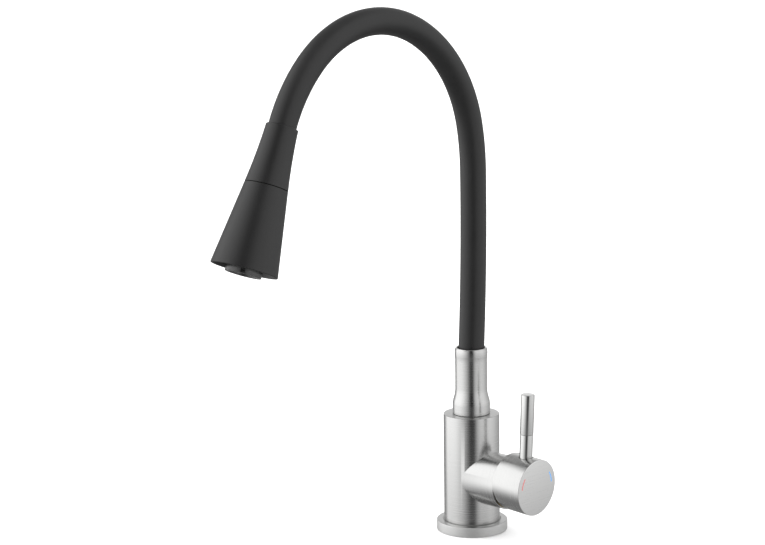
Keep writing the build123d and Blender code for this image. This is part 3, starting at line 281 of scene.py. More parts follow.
class Nodes:
    """Small wrapper that makes and joins shader nodes."""

    def __init__(self, name):
        self.material = bpy.data.materials.new(name)
        self.material.use_nodes = True
        self.tree = self.material.node_tree
        self.tree.nodes.clear()
        self.shader = self.tree.nodes.new("ShaderNodeBsdfPrincipled")
        output = self.tree.nodes.new("ShaderNodeOutputMaterial")
        self.link(self.shader.outputs[0], output.inputs["Surface"])

    def new(self, kind, **values):
        node = self.tree.nodes.new(kind)
        for key, value in values.items():
            setattr(node, key, value)
        return node

    def link(self, a, b):
        self.tree.links.new(a, b)

    def set(self, **values):
        """Plain values on the shader's own sockets."""
        for key, value in values.items():
            self.shader.inputs[key.replace("_", " ")].default_value = value

    def stretched(self, scale):
        """The object's coordinates multiplied by one factor for each axis, in 1/m."""
        node = self.new("ShaderNodeVectorMath", operation="MULTIPLY")
        self.link(self.new("ShaderNodeTexCoord").outputs["Object"], node.inputs[0])
        node.inputs[1].default_value = scale
        return node.outputs[0]

    def noise(self, vector, detail=3.0, roughness=0.5):
        node = self.new("ShaderNodeTexNoise")
        self.link(vector, node.inputs["Vector"])
        node.inputs["Scale"].default_value = 1.0
        node.inputs["Detail"].default_value = detail
        node.inputs["Roughness"].default_value = roughness
        return node.outputs["Fac"]

    def remap(self, value, low, high, from_low=0.0, from_high=1.0):
        node = self.new("ShaderNodeMapRange")
        self.link(value, node.inputs["Value"])
        node.inputs["From Min"].default_value = from_low
        node.inputs["From Max"].default_value = from_high
        node.inputs["To Min"].default_value = low
        node.inputs["To Max"].default_value = high
        return node.outputs["Result"]

    def math(self, operation, a, b):
        node = self.new("ShaderNodeMath", operation=operation)
        for socket, value in zip(node.inputs, (a, b)):
            if isinstance(value, (int, float)):
                socket.default_value = value
            else:
                self.link(value, socket)
        return node.outputs[0]

    def blend_colour(self, factor, low, high):
        node = self.new("ShaderNodeMix", data_type="RGBA")
        self.link(factor, node.inputs[0])
        node.inputs[6].default_value = (*low, 1)
        node.inputs[7].default_value = (*high, 1)
        return node.outputs[2]

    def bump(self, height, strength, distance):
        node = self.new("ShaderNodeBump")
        node.inputs["Strength"].default_value = strength
        node.inputs["Distance"].default_value = distance
        self.link(height, node.inputs["Height"])
        self.link(node.outputs[0], self.shader.inputs["Normal"])

    def tangent(self, direction):
        """Reflections stretch along a fixed direction of the object."""
        node = self.new("ShaderNodeVectorTransform", vector_type="VECTOR",
                        convert_from="OBJECT", convert_to="WORLD")
        node.inputs[0].default_value = direction
        self.link(node.outputs[0], self.shader.inputs["Tangent"])

    def edges(self):
        """0 on open surfaces, 1 on worn convex edges."""
        pointiness = self.new("ShaderNodeNewGeometry").outputs["Pointiness"]
        return self.remap(pointiness, 0.0, 1.0, EDGE_STARTS, EDGE_WORN)


def brushed_steel(name, fine, stretch, colour=(0.60, 0.60, 0.595), rough=0.25, aniso=0.6, metal=1.0):
    """Brushed stainless: scratches run across the axis that is multiplied most in fine."""
    m = Nodes(name)
    hair = m.noise(m.stretched(fine), detail=4.0, roughness=0.65)
    streak = m.noise(m.stretched([v * STREAK_SCALE for v in fine]), detail=2.0)
    cloud = m.noise(m.stretched((38, 38, 38)), detail=2.0)
    fine_part = m.math("MULTIPLY", hair, 1 - STREAK_SHARE)
    grain = m.math("ADD", fine_part, m.math("MULTIPLY", streak, STREAK_SHARE))
    light = tuple(min(1, c * (1 + BRUSH_CONTRAST)) for c in colour)
    dark = tuple(c * (1 - BRUSH_CONTRAST) for c in colour)
    m.link(m.blend_colour(m.remap(grain, 0, 1, 0.3, 0.7), dark, light), m.shader.inputs["Base Color"])
    uneven = m.remap(cloud, -0.02, 0.02)
    blur = m.math("ADD", m.remap(grain, rough - 0.05, rough + 0.05, 0.3, 0.7), uneven)
    m.link(blur, m.shader.inputs["Roughness"])
    m.bump(grain, 0.04, GRAIN_DEPTH)
    m.set(Metallic=metal, Anisotropic=aniso)
    m.tangent(stretch)
    return m.material


def polished_steel(name, colour=(0.66, 0.66, 0.655), rough=0.13):
    m = Nodes(name)
    hair = m.noise(m.stretched((60, 60, 7000)), detail=3.0)
    smudge = m.noise(m.stretched((90, 90, 60)), detail=3.0)
    m.link(m.blend_colour(hair, tuple(c * 0.95 for c in colour), colour), m.shader.inputs["Base Color"])
    blur = m.math("ADD", m.remap(hair, rough - 0.02, rough + 0.03), m.remap(smudge, -0.01, 0.04))
    m.link(blur, m.shader.inputs["Roughness"])
    m.bump(hair, 0.12, GRAIN_DEPTH)
    m.set(Metallic=1.0, Anisotropic=0.3)
    m.tangent((0, 0, 1))
    return m.material


def moulded(name, colour, rough, grain_scale, grain_depth, spread=0.15, specular=0.5, metal=0.0):
    """Moulded or extruded plastic, rubber and plain turned metal: grain, faint mottling, rubbed edges."""
    m = Nodes(name)
    grain = m.noise(m.stretched((grain_scale,) * 3), detail=3.0, roughness=0.6)
    mottle = m.noise(m.stretched((55, 55, 55)), detail=3.0)
    rubbed = m.edges()
    tone = m.math("ADD", m.math("MULTIPLY", mottle, 0.8), m.math("MULTIPLY", rubbed, 0.5))
    dark = tuple(c * (1 - spread) for c in colour)
    light = tuple(min(1, c * (1 + spread) + 0.002) for c in colour)
    m.link(m.blend_colour(tone, dark, light), m.shader.inputs["Base Color"])
    blur = m.math("ADD", m.remap(grain, rough - 0.04, rough + 0.04), m.remap(mottle, -0.03, 0.03))
    m.link(m.math("SUBTRACT", blur, m.math("MULTIPLY", rubbed, 0.08)), m.shader.inputs["Roughness"])
    m.bump(grain, 0.35, grain_depth)
    m.set(Metallic=metal, Specular_IOR_Level=specular)
    return m.material


# the second value of a brushed steel is how dense its lines are along each axis, in 1/m
STEEL_UPRIGHT = brushed_steel("brushed_steel_turned", (45, 45, 9000), (0, 0, 1))
STEEL_BRANCH = brushed_steel("brushed_steel_branch", (9000, 45, 45), (1, 0, 0))
# the cap's flat face: its own linear brushing, and painted light, a base colour lighter than the other
# steel (0.76 against 0.60) so that the face reads brighter
STEEL_FLAT_PAINTED_LIGHT = brushed_steel("brushed_steel_flat_painted_light", (9000, 60, 60), (1, 0, 0),
                           colour=(0.76, 0.76, 0.755), rough=0.3, aniso=0.4)
STEEL_CONCENTRIC = brushed_steel("brushed_steel_concentric", (900, 900, 900), (0, 0, 1),
                                 rough=0.34, aniso=0.0)
STEEL_SATIN = brushed_steel("brushed_steel_satin", (900, 900, 9000), (0, 0, 1),
                            rough=0.5, aniso=0.0, metal=0.8)
STEEL_POLISHED = polished_steel("polished_steel")
SILICONE = moulded("black_silicone", (0.0082, 0.0082, 0.0084), 0.44, 2600, 0.00001)
SOFT_PLASTIC = moulded("soft_touch_plastic", (0.004, 0.004, 0.0042), 0.43, 3400, 0.000006, specular=0.6)
AERATOR_PLASTIC = moulded("aerator_plastic", (0.024, 0.024, 0.0242), 0.22, 2000, 0.000004, specular=0.8)
NOZZLE_RUBBER = moulded("nozzle_rubber", (0.10, 0.10, 0.105), 0.6, 2400, 0.00003)
SLOT_MATERIALS = {
    "brushed_stainless": STEEL_UPRIGHT,
    "polished_stainless": STEEL_POLISHED,
    # brass takes painted shade: a colour darker than its own, so that the valve block's sliver in the seam
    # between handle cap and branch reads dark
    "brass": moulded("machined_brass_painted_shade", (0.36, 0.27, 0.13), 0.42, 1500, 0.00002, metal=1.0),
    "steel": moulded("machined_steel", (0.5, 0.5, 0.51), 0.32, 1500, 0.00002, metal=1.0),
    "gooseneck_steel": moulded("spring_wire", (0.4, 0.4, 0.42), 0.35, 1500, 0.00002, metal=1.0),
    "rubber": moulded("seal_rubber", (0.02, 0.02, 0.02), 0.55, 2500, 0.00003),
    "black_silicone": SILICONE,
    "nozzle_rubber": NOZZLE_RUBBER,
    "black_plastic": SOFT_PLASTIC,
    "aerator_plastic": AERATOR_PLASTIC,
    "acetal": moulded("acetal", (0.78, 0.77, 0.72), 0.4, 1800, 0.00002),
    "hose_plastic": moulded("hose_plastic", (0.6, 0.63, 0.65), 0.35, 900, 0.00002),
    "ceramic": moulded("ceramic", (0.85, 0.83, 0.78), 0.12, 1200, 0.00001),
    "red_enamel": moulded("red_enamel", (0.62, 0.045, 0.045), 0.3, 1800, 0.00001, specular=0.6),
    "blue_enamel": moulded("blue_enamel", (0.04, 0.34, 0.85), 0.3, 1800, 0.00001, specular=0.6),
}


def dress_cad_nodes():
    """Every CAD node, shown or not, takes its slot's full material."""
    for entry in frame["record"]["subparts"]:
        node = NODES[entry["node"]]
        node.data.materials.clear()
        node.data.materials.append(SLOT_MATERIALS[entry["material_slot"]])


# ---------------------------------------------------------------- base and body
def make_base_ring():
    """Ring that the body stands in, with a spigot inside the body's foot."""
    seat = BASE_H - 0.7
    points = outline([(BASE_IN, 0), (BASE_R - 0.05, 0, 0.3), (BASE_R, BASE_H, 0.8),
                      (BODY_R + 1.1, BASE_H, 0.25), (BODY_R + 0.5, seat, 0.1), (SPIGOT_R, seat),
                      (SPIGOT_R, SPIGOT_TOP, 0.3), (BASE_IN, SPIGOT_TOP, 0.3)])
    ring = lathe("base_ring_piece", points)
    dress(ring, "faucet_body", [STEEL_SATIN, STEEL_CONCENTRIC], ["base_ring"])
    flat_faces(ring, (0, 0, 1), 1)


def make_body():
    """Upright tube and side branch in one, hollow, with the branch's and the top's own brushing."""
    foot = BASE_H - 0.65
    points = outline([(0, foot), (BODY_R, foot, 0.2), (BODY_R, BODY_TOP, 0.5), (0, BODY_TOP)])
    body = lathe("body_shell_piece", points, steps=256)
    branch_points = outline([(0, 0), (BRANCH_R, 0), (BRANCH_R, BRANCH_END, 0.35), (0, BRANCH_END)])
    branch = lathe("branch_outer", branch_points, BRANCH, steps=256)
    combine(body, branch, "UNION")
    bores = [("tube_inside", BODY_R - BODY_WALL, 0, BODY_TOP - TOP_WALL, UPRIGHT),
             ("branch_inside", BRANCH_R - BRANCH_WALL, 2, BRANCH_END + 2, BRANCH),
             ("top_hole", TOP_HOLE_R, BODY_TOP - 15.5, BODY_TOP + 4.5, UPRIGHT)]
    for name, radius, low, high, place in bores:
        bore = lathe(name, [(0, low), (radius, low), (radius, high), (0, high)], place)
        combine(body, bore, "DIFFERENCE")
    materials = [STEEL_UPRIGHT, STEEL_BRANCH, STEEL_CONCENTRIC]
    dress(body, "faucet_body", materials, ["body_shell"])
    for polygon in body.data.polygons:
        x, y, z = polygon.center / MM
        if hypot(x, y) > BODY_R + 0.02 and x > 0:
            polygon.material_index = 1
        elif z > BODY_TOP - 0.05:
            polygon.material_index = 2


def make_collar():
    """Waisted collar with a rolled lip, and the sleeve's socket and the hose's bore inside."""
    foot_r, neck_r, lip_r, crest_r = COLLAR_FOOT_R, COLLAR_NECK_R, COLLAR_LIP_R, LIP_CREST_R
    recess_r, socket_r, bore_r, socket_floor, recess_top = 13.5, 10.75, 10.1, 107.0, 97.0
    points = [(recess_r, COLLAR_FOOT), (foot_r - 0.2, COLLAR_FOOT), (foot_r, COLLAR_FOOT + 0.3),
              (foot_r, SHOULDER_LOW)]
    points += bezier((foot_r, SHOULDER_LOW), (foot_r, SHOULDER_LOW + 5.7), (neck_r, SHOULDER_HIGH - 7.5),
                     (neck_r, SHOULDER_HIGH), 24)
    points += [(neck_r, (SHOULDER_HIGH + LIP_LOW) / 2 + 0.5), (neck_r, LIP_LOW)]
    points += bezier((neck_r, LIP_LOW), (neck_r, LIP_LOW + 4), (lip_r, LIP_WIDEST - 3.3),
                     (lip_r, LIP_WIDEST), 10)
    points += bezier((lip_r, LIP_WIDEST), (lip_r, COLLAR_TOP - 1.2), (crest_r + 0.8, COLLAR_TOP),
                     (crest_r, COLLAR_TOP), 10)
    points += bezier((crest_r, COLLAR_TOP), (crest_r - 0.4, COLLAR_TOP), (crest_r - 0.6, COLLAR_TOP - 0.2),
                     (crest_r - 0.65, COLLAR_TOP - 0.7), 5)
    points += [(socket_r, LIP_LOW + 1), (socket_r, socket_floor), (bore_r, socket_floor),
               (bore_r, recess_top), (recess_r, recess_top)]
    collar = lathe("spout_collar_piece", points)
    dress(collar, "spout_base", [STEEL_UPRIGHT], ["spout_collar"])


# ---------------------------------------------------------------- handle
def make_handle_cap():
    """Cap with a thin rear skirt, and the boss inside it that grips the valve's stem."""
    inner = HANDLE_R - CAP_WALL
    points = outline([(0, 0), (HANDLE_R, 0, 0.35), (HANDLE_R, -HANDLE_DEPTH, 0.3),
                      (SKIRT_IN, -HANDLE_DEPTH, 0.3), (SKIRT_IN, -SKIRT_START, 0.2),
                      (inner, -SKIRT_START, 0.2), (inner, -CAP_FACE_T, 0.6), (0, -CAP_FACE_T)])
    cap = lathe("handle_cap_piece", points, HANDLE, steps=256)
    # the rear rim is cut back below mid-height, to clear the branch as the handle tips
    rear, far = -HANDLE_DEPTH - 0.2, -BEVEL_REACH
    wedge = prism("wedge", [(0, rear), (far, rear), (far, -HANDLE_DEPTH + BEVEL_REACH * tan(BEVEL))],
                  -BEVEL_REACH, BEVEL_REACH, placed(HANDLE_FACE, (0, 1, 0), UPWARD))
    combine(cap, wedge, "DIFFERENCE")
    low, high = HANDLE_R - 7.5, HANDLE_R + 7.5
    hole = lathe("rod_hole", [(0, low), (ROD_HOLE_R, low), (ROD_HOLE_R, high), (0, high)], ROD, steps=64)
    combine(cap, hole, "DIFFERENCE")
    dress(cap, "handle", [STEEL_UPRIGHT, STEEL_FLAT_PAINTED_LIGHT], ["handle_cap"])
    # faces looking along the cap's axis take the steel with the painted light
    flat_faces(cap, (0, 0, 1), 1)
    boss_drop = (HANDLE_FACE.z - PIVOT.z) * UPWARD.z + (HANDLE_FACE.x - PIVOT.x) * UPWARD.x
    boss_place = placed(HANDLE_FACE - UPWARD * boss_drop, OUTWARD, UPWARD)
    boss_root = -CAP_FACE_T - 0.02
    points = outline([(BOSS_BORE_R, boss_root), (BOSS_R, boss_root), (BOSS_R, -BOSS_DEPTH, 0.5),
                      (BOSS_BORE_R, -BOSS_DEPTH, 0.3)])
    boss = lathe("handle_boss_piece", points, boss_place, steps=96)
    dress(boss, "handle", [STEEL_UPRIGHT])


def make_rod():
    """Slimmer foot that enters the cap, and the sleeve above the seam, a hair's breadth apart."""
    root, seam, top = HANDLE_R - ROD_SUNK, HANDLE_R + ROD_SEAM, HANDLE_R + ROD_LENGTH
    points = outline([(0, root), (ROD_FOOT_R, root), (ROD_FOOT_R, seam, 0.3), (0, seam)])
    rod = lathe("lever_rod_piece", points, ROD, steps=96)
    dress(rod, "handle", [STEEL_POLISHED], ["lever_rod"])
    above = seam + ROD_GAP
    points = outline([(0, above), (ROD_SLEEVE_R, above, 0.3), (ROD_SLEEVE_R, top, 0.5), (0, top)])
    sleeve = lathe("lever_sleeve_piece", points, ROD, steps=96)
    dress(sleeve, "handle", [STEEL_POLISHED], ["lever_sleeve"])


def make_marks():
    """Slender enamel arcs, crowned across and rounded at their ends."""
    starts = {"hot_mark": (180 - MARK_LIFT - MARK_SPAN / 2, "red_enamel"),
              "cold_mark": (MARK_LIFT - MARK_SPAN / 2, "blue_enamel")}
    right = Vector((0, 1, 0))
    for name, (start, slot) in starts.items():
        vertices, faces = [], []
        along_steps, across_steps = 40, 8
        for i in range(along_steps + 1):
            t = i / along_steps
            angle = radians(start + MARK_SPAN * t)
            from_end = min(t, 1 - t) * radians(MARK_SPAN) * MARK_RADIUS
            half = MARK_WIDTH / 2
            if from_end < half:
                half = max(0.02, (half ** 2 - (half - from_end) ** 2) ** 0.5)
            for j in range(across_steps + 1):
                offset = half * (2 * j / across_steps - 1)
                bulge = 1 - (offset / (MARK_WIDTH / 2)) ** 2
                crown = MARK_CROWN * bulge * min(1, from_end / 0.4 + 0.2)
                radius = MARK_RADIUS + offset
                point = right * radius * cos(angle) + UPWARD * radius * sin(angle)
                vertices.append(HANDLE_FACE + point + OUTWARD * (crown - MARK_SINK))
        row = across_steps + 1
        top_count = len(vertices)
        vertices += [v - OUTWARD * MARK_DEPTH for v in vertices]
        for i in range(along_steps):
            for j in range(across_steps):
                a = i * row + j
                faces.append([a, a + 1, a + row + 1, a + row])
                faces.append([top_count + v for v in (a, a + row, a + row + 1, a + 1)])
        rim = list(range(row)) + [i * row + across_steps for i in range(1, along_steps + 1)]
        rim += [along_steps * row + j for j in range(across_steps - 1, -1, -1)]
        rim += [i * row for i in range(along_steps - 1, 0, -1)]
        for k, a in enumerate(rim):
            b = rim[(k + 1) % len(rim)]
            faces.append([b, a, a + top_count, b + top_count])
        mark = mesh_object(f"{name}_piece", vertices, faces, sharp=60)
        dress(mark, "handle", [SLOT_MATERIALS[slot]], [name])


# ---------------------------------------------------------------- neck
def arc_end(point, lean, radius, turn):
    chord = 2 * radius * sin(radians(abs(turn)) / 2)
    middle = radians(lean + turn / 2)
    return (point[0] - chord * sin(middle), point[1] + chord * cos(middle))


def neck_runs():
    """The centre line's runs: (start, end, (y, z), lean from upright, radius, turn)."""
    runs = [(0.0, NECK_STRAIGHT, (0.0, NECK_FOOT_Z), 0.0, 0.0, 0.0)]
    point, lean, length = (0.0, NECK_FOOT_Z + NECK_STRAIGHT), 0.0, NECK_STRAIGHT
    for radius, turn in NECK_ARCS:
        arc = radius * radians(abs(turn))
        runs.append((length, length + arc, point, lean, radius, turn))
        point = arc_end(point, lean, radius, turn)
        lean += turn
        length += arc
    runs.append((length, length + NECK_TAIL, point, lean, 0.0, 0.0))
    return runs


NECK_RUNS = neck_runs()
HEAD_S = NECK_RUNS[-1][0]


def neck_at(s):
    """Point and heading of the centre line at a length s."""
    for start, end, point, lean, radius, turn in NECK_RUNS:
        if s <= end + 1e-6:
            break
    share = (s - start) / (end - start)
    if radius == 0.0:
        y = point[0] - sin(radians(lean)) * (s - start)
        z = point[1] + cos(radians(lean)) * (s - start)
    else:
        y, z = arc_end(point, lean, radius, turn * share)
    lean = radians(lean + turn * share)
    return Vector((0, y, z)), Vector((0, -sin(lean), cos(lean)))


def swept_tube(name, stations, outer, inner, steps):
    """Closed tube along the centre line; outer is a radius or a function of the length."""
    vertices, faces = [], []
    for s in stations:
        point, heading = neck_at(s)
        across = Vector((1, 0, 0))
        side = heading.cross(across)
        for radius in (outer(s) if callable(outer) else outer, inner):
            for k in range(steps):
                angle = 2 * pi * k / steps
                vertices.append(point + (across * cos(angle) + side * sin(angle)) * radius)
    for i in range(len(stations) - 1):
        for wall in (0, 1):
            a = (2 * i + wall) * steps
            b = a + 2 * steps
            for k in range(steps):
                n = (k + 1) % steps
                faces.append([a + k, a + n, b + n, b + k])
    for i in (0, len(stations) - 1):
        a = 2 * i * steps
        for k in range(steps):
            n = (k + 1) % steps
            faces.append([a + k, a + n, a + steps + n, a + steps + k])
    return mesh_object(name, vertices, faces)


def stations_between(low, high, pitch):
    """Evenly spaced lengths, with one just inside each end so that its shading stays true."""
    count = max(2, round((high - low) / pitch))
    even = [low + (high - low) * k / count for k in range(count + 1)]
    return [even[0], even[0] + 0.15] + even[1:-1] + [even[-1] - 0.15, even[-1]]


def wound_wire(s):
    """Radius of the gooseneck's wound wire at a length s."""
    return GOOSENECK_R - WIRE_GROOVE * (0.5 - 0.5 * cos(2 * pi * s / WIRE_PITCH))


def make_neck():
    """Each layer is one smooth piece for each pivot, meeting the next where both are rigid."""
    middles = [(a + b) / 2 for a, b in zip(NECK_PIVOTS, NECK_PIVOTS[1:])]
    covered = (SLEEVE_FOOT_S, HEAD_S + SLEEVE_INSIDE_HEAD)
    carried = (HOSE_FOOT_S, HEAD_S + HOSE_INSIDE_HEAD)
    layers = [("neck_sleeve", SLEEVE_R, SLEEVE_IN, covered, 1.5, 96, "black_silicone"),
              ("gooseneck", wound_wire, GOOSENECK_IN, covered, WIRE_PITCH / 6, 40, "gooseneck_steel"),
              ("water_hose", WATER_HOSE_R, WATER_BORE_R, carried, 2.5, 40, "hose_plastic")]
    for layer, outer, inner, (low, high), pitch, steps, slot in layers:
        ends = [low] + middles + [high]
        for k, pivot in enumerate(NECK_PIVOTS):
            name = f"{layer}_piece_{k + 1}"
            tube = swept_tube(name, stations_between(ends[k], ends[k + 1], pitch), outer, inner, steps)
            tube.data.materials.append(SLOT_MATERIALS[slot])
            stands_for = [f"{layer}_{k}"] + ([f"{layer}_{k + 1}"] if k == len(NECK_PIVOTS) - 1 else [])
            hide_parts(*stands_for)
            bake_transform(tube)


# ---------------------------------------------------------------- spray head
HEAD_ORIGIN, HEAD_ALONG = neck_at(HEAD_S)
HEAD = placed(HEAD_ORIGIN, HEAD_ALONG, (1, 0, 0))
CONE_SLOPE = (HEAD_MOUTH_R - HEAD_SEAM_R) / CONE_LENGTH
GRIP_SLOPE = 2 * (HEAD_SEAM_R - HEAD_TOP_R) / GRIP_LENGTH - CONE_SLOPE
HEAD_LENGTH = GRIP_LENGTH + CONE_LENGTH


def cone_radius(depth):
    return HEAD_SEAM_R + CONE_SLOPE * (depth - GRIP_LENGTH)


def cone_bore(depth):
    return cone_radius(depth) - WALL


def make_grip():
    """Flared grip: a quadratic curve from the mouth to the seam, in as many steps as it needs."""
    middle = (HEAD_TOP_R + GRIP_SLOPE * GRIP_LENGTH / 2, GRIP_LENGTH / 2)
    start, end = (HEAD_TOP_R, 0.8), (HEAD_SEAM_R, GRIP_LENGTH - 0.3)
    flare, steps = [], 28
    for k in range(1, steps + 1):
        t = k / steps
        first, second, third = (1 - t) ** 2, 2 * t * (1 - t), t * t
        flare.append(tuple(first * a + second * b + third * c for a, b, c in zip(start, middle, end)))
    mouth, neck = (GRIP_MOUTH_R, 0), (GRIP_MOUTH_R, GRIP_STEP)
    points = corner(mouth, (HEAD_TOP_R, 0), flare[0], 0.7)
    points += flare + [(HEAD_SEAM_R - 0.1, GRIP_LENGTH - 0.08), (HEAD_SEAM_R - 0.35, GRIP_LENGTH)]
    points += [(HEAD_SEAM_R - WALL, GRIP_LENGTH), (HEAD_SEAM_R - WALL - 0.4, GRIP_FLOOR),
               (GRIP_BORE_R, GRIP_FLOOR), (GRIP_BORE_R, GRIP_STEP), neck]
    points += corner(neck, mouth, (HEAD_TOP_R, 0), 0.3)
    grip = lathe("head_grip_piece", points, HEAD)
    dress(grip, "spray_grip", [SOFT_PLASTIC], ["head_grip"])


def make_cone():
    """Hollow cone from the seam to the mouth."""
    top = GRIP_LENGTH + SEAM_GAP
    under = top + 2                    # beneath the cone's top wall
    inner_top = cone_bore(under)
    hole_r = inner_top - 2.6
    points = outline([(hole_r, top), (cone_radius(top), top, 0.3), (HEAD_MOUTH_R, HEAD_LENGTH, 0.45),
                      (HEAD_MOUTH_R - 1.7, HEAD_LENGTH, 0.3), (cone_bore(SPRAY_DEPTH), SPRAY_DEPTH),
                      (inner_top, under), (hole_r, under)])
    cone = lathe("cone_shell_piece", points, HEAD)
    dress(cone, "spray_cone", [SOFT_PLASTIC], ["cone_shell"])


def make_spray_face():
    """Face plate round the aerator, with two rings of rubber nozzles."""
    inner, outer = AERATOR_R + SPRAY_GAP, cone_bore(SPRAY_DEPTH) - 0.1
    face_depth = SPRAY_DEPTH + SPRAY_T
    points = outline([(inner, SPRAY_DEPTH), (outer, SPRAY_DEPTH), (outer, face_depth, 0.4),
                      (FACE_GROOVE_R + 0.3, face_depth, 0.2), (FACE_GROOVE_R, face_depth - 0.3, 0.1),
                      (FACE_GROOVE_R - 0.3, face_depth, 0.2), (inner, face_depth, 0.4)])
    face = lathe("spray_face_piece", points, HEAD)
    dress(face, "spray_cone", [SOFT_PLASTIC], ["spray_face"])
    vertices, faces = [], []
    # one nozzle, its foot sunk in the face and its mouth dished
    nozzle = outline([(0.0, -0.6), (1.05, -0.6), (1.05, 0.15, 0.1), (0.85, 1.15, 0.2), (0.42, 1.15, 0.1),
                      (0.3, 0.2), (0.0, 0.2)])
    steps = 16
    for radius, count in NOZZLE_RINGS:
        for k in range(count):
            angle = 2 * pi * k / count
            centre = Vector((radius * cos(angle), radius * sin(angle), face_depth))
            start = len(vertices)
            for r, h in nozzle:
                for j in range(steps):
                    turn = 2 * pi * j / steps
                    vertices.append(centre + Vector((r * cos(turn), r * sin(turn), h)))
            for i in range(len(nozzle) - 1):
                for j in range(steps):
                    a, b = start + i * steps + j, start + i * steps + (j + 1) % steps
                    faces.append([a, b, b + steps, a + steps])
    nozzles = mesh_object("spray_nozzles_piece", vertices, faces, HEAD)
    dress(nozzles, "spray_cone", [NOZZLE_RUBBER], ["spray_nozzles"])


def make_aerator():
    """Aerator housing, proud of the cone's mouth, with two key pockets in its side."""
    end = HEAD_LENGTH + AERATOR_PROUD
    points = outline([(AERATOR_BORE, AERATOR_TOP), (AERATOR_R, AERATOR_TOP), (AERATOR_R, end, 0.5),
                      (AERATOR_BORE + 0.3, end, 0.3), (AERATOR_BORE, end - 1.2)])
    housing = lathe("aerator_housing_piece", points, HEAD)
    for turn in (NOTCH_ANGLE, NOTCH_ANGLE + 180):
        direction = Vector((cos(radians(turn)), sin(radians(turn)), 0))
        side = Vector((-direction.y, direction.x, 0))
        near, far, half = AERATOR_R - NOTCH_DEPTH, AERATOR_R + 2, NOTCH_HALF_WIDTH
        ends = ((near, -half), (far, -half), (far, half), (near, half))
        box = [direction * r + side * w for r, w in ends]
        mouth = end - NOTCH_LAND
        pocket = prism("pocket", [(p.x, p.y) for p in box], mouth - NOTCH_HEIGHT, mouth, HEAD)
        combine(housing, pocket, "DIFFERENCE")
    dress(housing, "spray_cone", [AERATOR_PLASTIC], ["aerator_housing"])


# ---------------------------------------------------------------- stage and light
def make_floor():
    m = Nodes("floor")
    speckle = m.noise(m.stretched((30, 30, 30)), detail=2.0)
    m.link(m.blend_colour(speckle, (0.93, 0.93, 0.93), (0.95, 0.95, 0.95)), m.shader.inputs["Base Color"])
    m.set(Roughness=0.9)
    reach = 40.0                       # half its width, in m
    mesh = bpy.data.meshes.new("floor")
    corners = [(-reach, -reach, 0), (reach, -reach, 0), (reach, reach, 0), (-reach, reach, 0)]
    mesh.from_pydata(corners, [], [(0, 1, 2, 3)])
    mesh.materials.append(m.material)
    floor = bpy.data.objects.new("floor", mesh)
    floor.location.z = -0.0002
    floor.visible_glossy = False
    bpy.context.scene.collection.objects.link(floor)


# brightness of the studio round the object: (degrees round from the camera, positive to its right, level)
STUDIO_ROUND = [(-180, 0.4), (-142, 0.4), (-130, 1.0), (-122, 1.6), (-85, 1.6), (-69, 1.5), (-55, 1.25),
                (-42, 0.95), (-29, 0.6), (-17, 0.22), (-8, 0.02), (8, 0.02), (13, 0.2), (21, 0.64),
                (34, 0.96), (60, 1.0), (76, 1.1), (95, 1.0), (112, 0.8), (138, 0.55), (160, 0.45),
                (180, 0.5)]
OVERHEAD_LEVEL, FLOOR_LEVEL, FAR_SIDE_LEVEL = 0.35, 0.26, 1.0
# where one part of the studio gives way to the next: heights are sines of the elevation
OVERHEAD_STARTS = (0.78, 0.88)
FLOOR_STARTS = (0.05, 0.75)        # below the horizon
FAR_SIDE_STARTS = (0.40, 0.47)     # share of a turn from the camera's side
FAR_SIDE_RISES, FAR_SIDE_FADES = (-0.05, 0.1), (0.3, 0.5)
SUN_ENERGY, SUN_ANGLE = 3.8, radians(130)


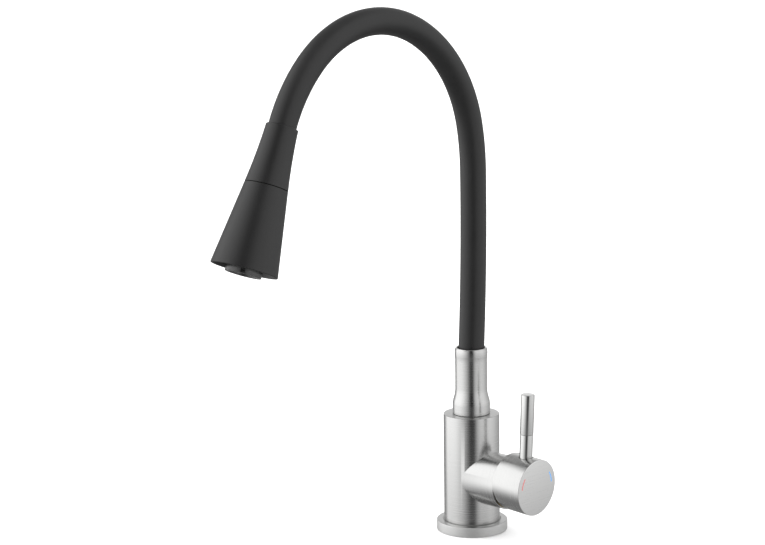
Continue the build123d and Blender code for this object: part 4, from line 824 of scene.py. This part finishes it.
def make_world():
    """A ring of softboxes with a dark gap at the camera, dimmer overhead and below."""
    world = bpy.data.worlds.new("studio")
    bpy.context.scene.world = world
    world.use_nodes = True
    tree = world.node_tree
    tree.nodes.clear()

    def new(kind, **values):
        node = tree.nodes.new(kind)
        for key, value in values.items():
            setattr(node, key, value)
        return node

    def calc(operation, a, b=0.0):
        node = new("ShaderNodeMath", operation=operation)
        for socket, value in zip(node.inputs, (a, b)):
            if isinstance(value, (int, float)):
                socket.default_value = value
            else:
                tree.links.new(value, socket)
        return node.outputs[0]

    def step(value, low, high):
        node = new("ShaderNodeMapRange", interpolation_type="SMOOTHSTEP")
        tree.links.new(value, node.inputs["Value"])
        node.inputs["From Min"].default_value = low
        node.inputs["From Max"].default_value = high
        return node.outputs[0]

    def towards(factor, low, high):
        """Level that goes from one to the other with the factor."""
        node = new("ShaderNodeMix", data_type="FLOAT")
        for socket, value in zip(node.inputs[0:1] + node.inputs[2:4], (factor, low, high)):
            if isinstance(value, (int, float)):
                socket.default_value = value
            else:
                tree.links.new(value, socket)
        return node.outputs[0]

    direction = new("ShaderNodeSeparateXYZ")
    tree.links.new(new("ShaderNodeTexCoord").outputs["Generated"], direction.inputs[0])
    x, y, z = direction.outputs
    # angle round from the camera's side, as 0 to 1 with the camera in the middle
    heading = calc("SUBTRACT", calc("ARCTAN2", y, x), CAMERA_AZIMUTH - pi / 2)
    around = calc("FRACT", calc("ADD", calc("DIVIDE", heading, 2 * pi), 1.5))
    ramp = new("ShaderNodeValToRGB")
    ramp.color_ramp.interpolation = "LINEAR"
    elements = ramp.color_ramp.elements
    while len(elements) > 1:
        elements.remove(elements[-1])
    for k, (degrees_round, level) in enumerate(STUDIO_ROUND):
        place = degrees_round / 360 + 0.5
        element = elements[0] if k == 0 else elements.new(place)
        element.position = place
        element.color = (level, level, level, 1)
    tree.links.new(around, ramp.inputs[0])
    far_side = step(calc("ABSOLUTE", calc("SUBTRACT", around, 0.5)), *FAR_SIDE_STARTS)
    low_band = calc("MULTIPLY", step(z, *FAR_SIDE_RISES), calc("SUBTRACT", 1.0, step(z, *FAR_SIDE_FADES)))
    level = towards(calc("MULTIPLY", far_side, low_band), ramp.outputs[0], FAR_SIDE_LEVEL)
    level = towards(step(z, *OVERHEAD_STARTS), level, OVERHEAD_LEVEL)
    level = towards(step(calc("MULTIPLY", z, -1), *FLOOR_STARTS), level, FLOOR_LEVEL)
    background = new("ShaderNodeBackground")
    tree.links.new(level, background.inputs["Color"])
    output = new("ShaderNodeOutputWorld")
    tree.links.new(background.outputs[0], output.inputs["Surface"])


def make_sun():
    """Broad even light from above, so that the floor is bright all over and shadows are soft."""
    data = bpy.data.lights.new("overhead", "SUN")
    data.energy = SUN_ENERGY
    data.angle = SUN_ANGLE
    light = bpy.data.objects.new("overhead", data)
    light.visible_glossy = False
    bpy.context.scene.collection.objects.link(light)


make_camera()
dress_cad_nodes()
make_base_ring()
make_body()
make_collar()
make_handle_cap()
make_rod()
make_marks()
make_neck()
make_grip()
make_cone()
make_spray_face()
make_aerator()
make_floor()
make_world()
make_sun()
bpy.context.scene.view_settings.view_transform = "Standard"
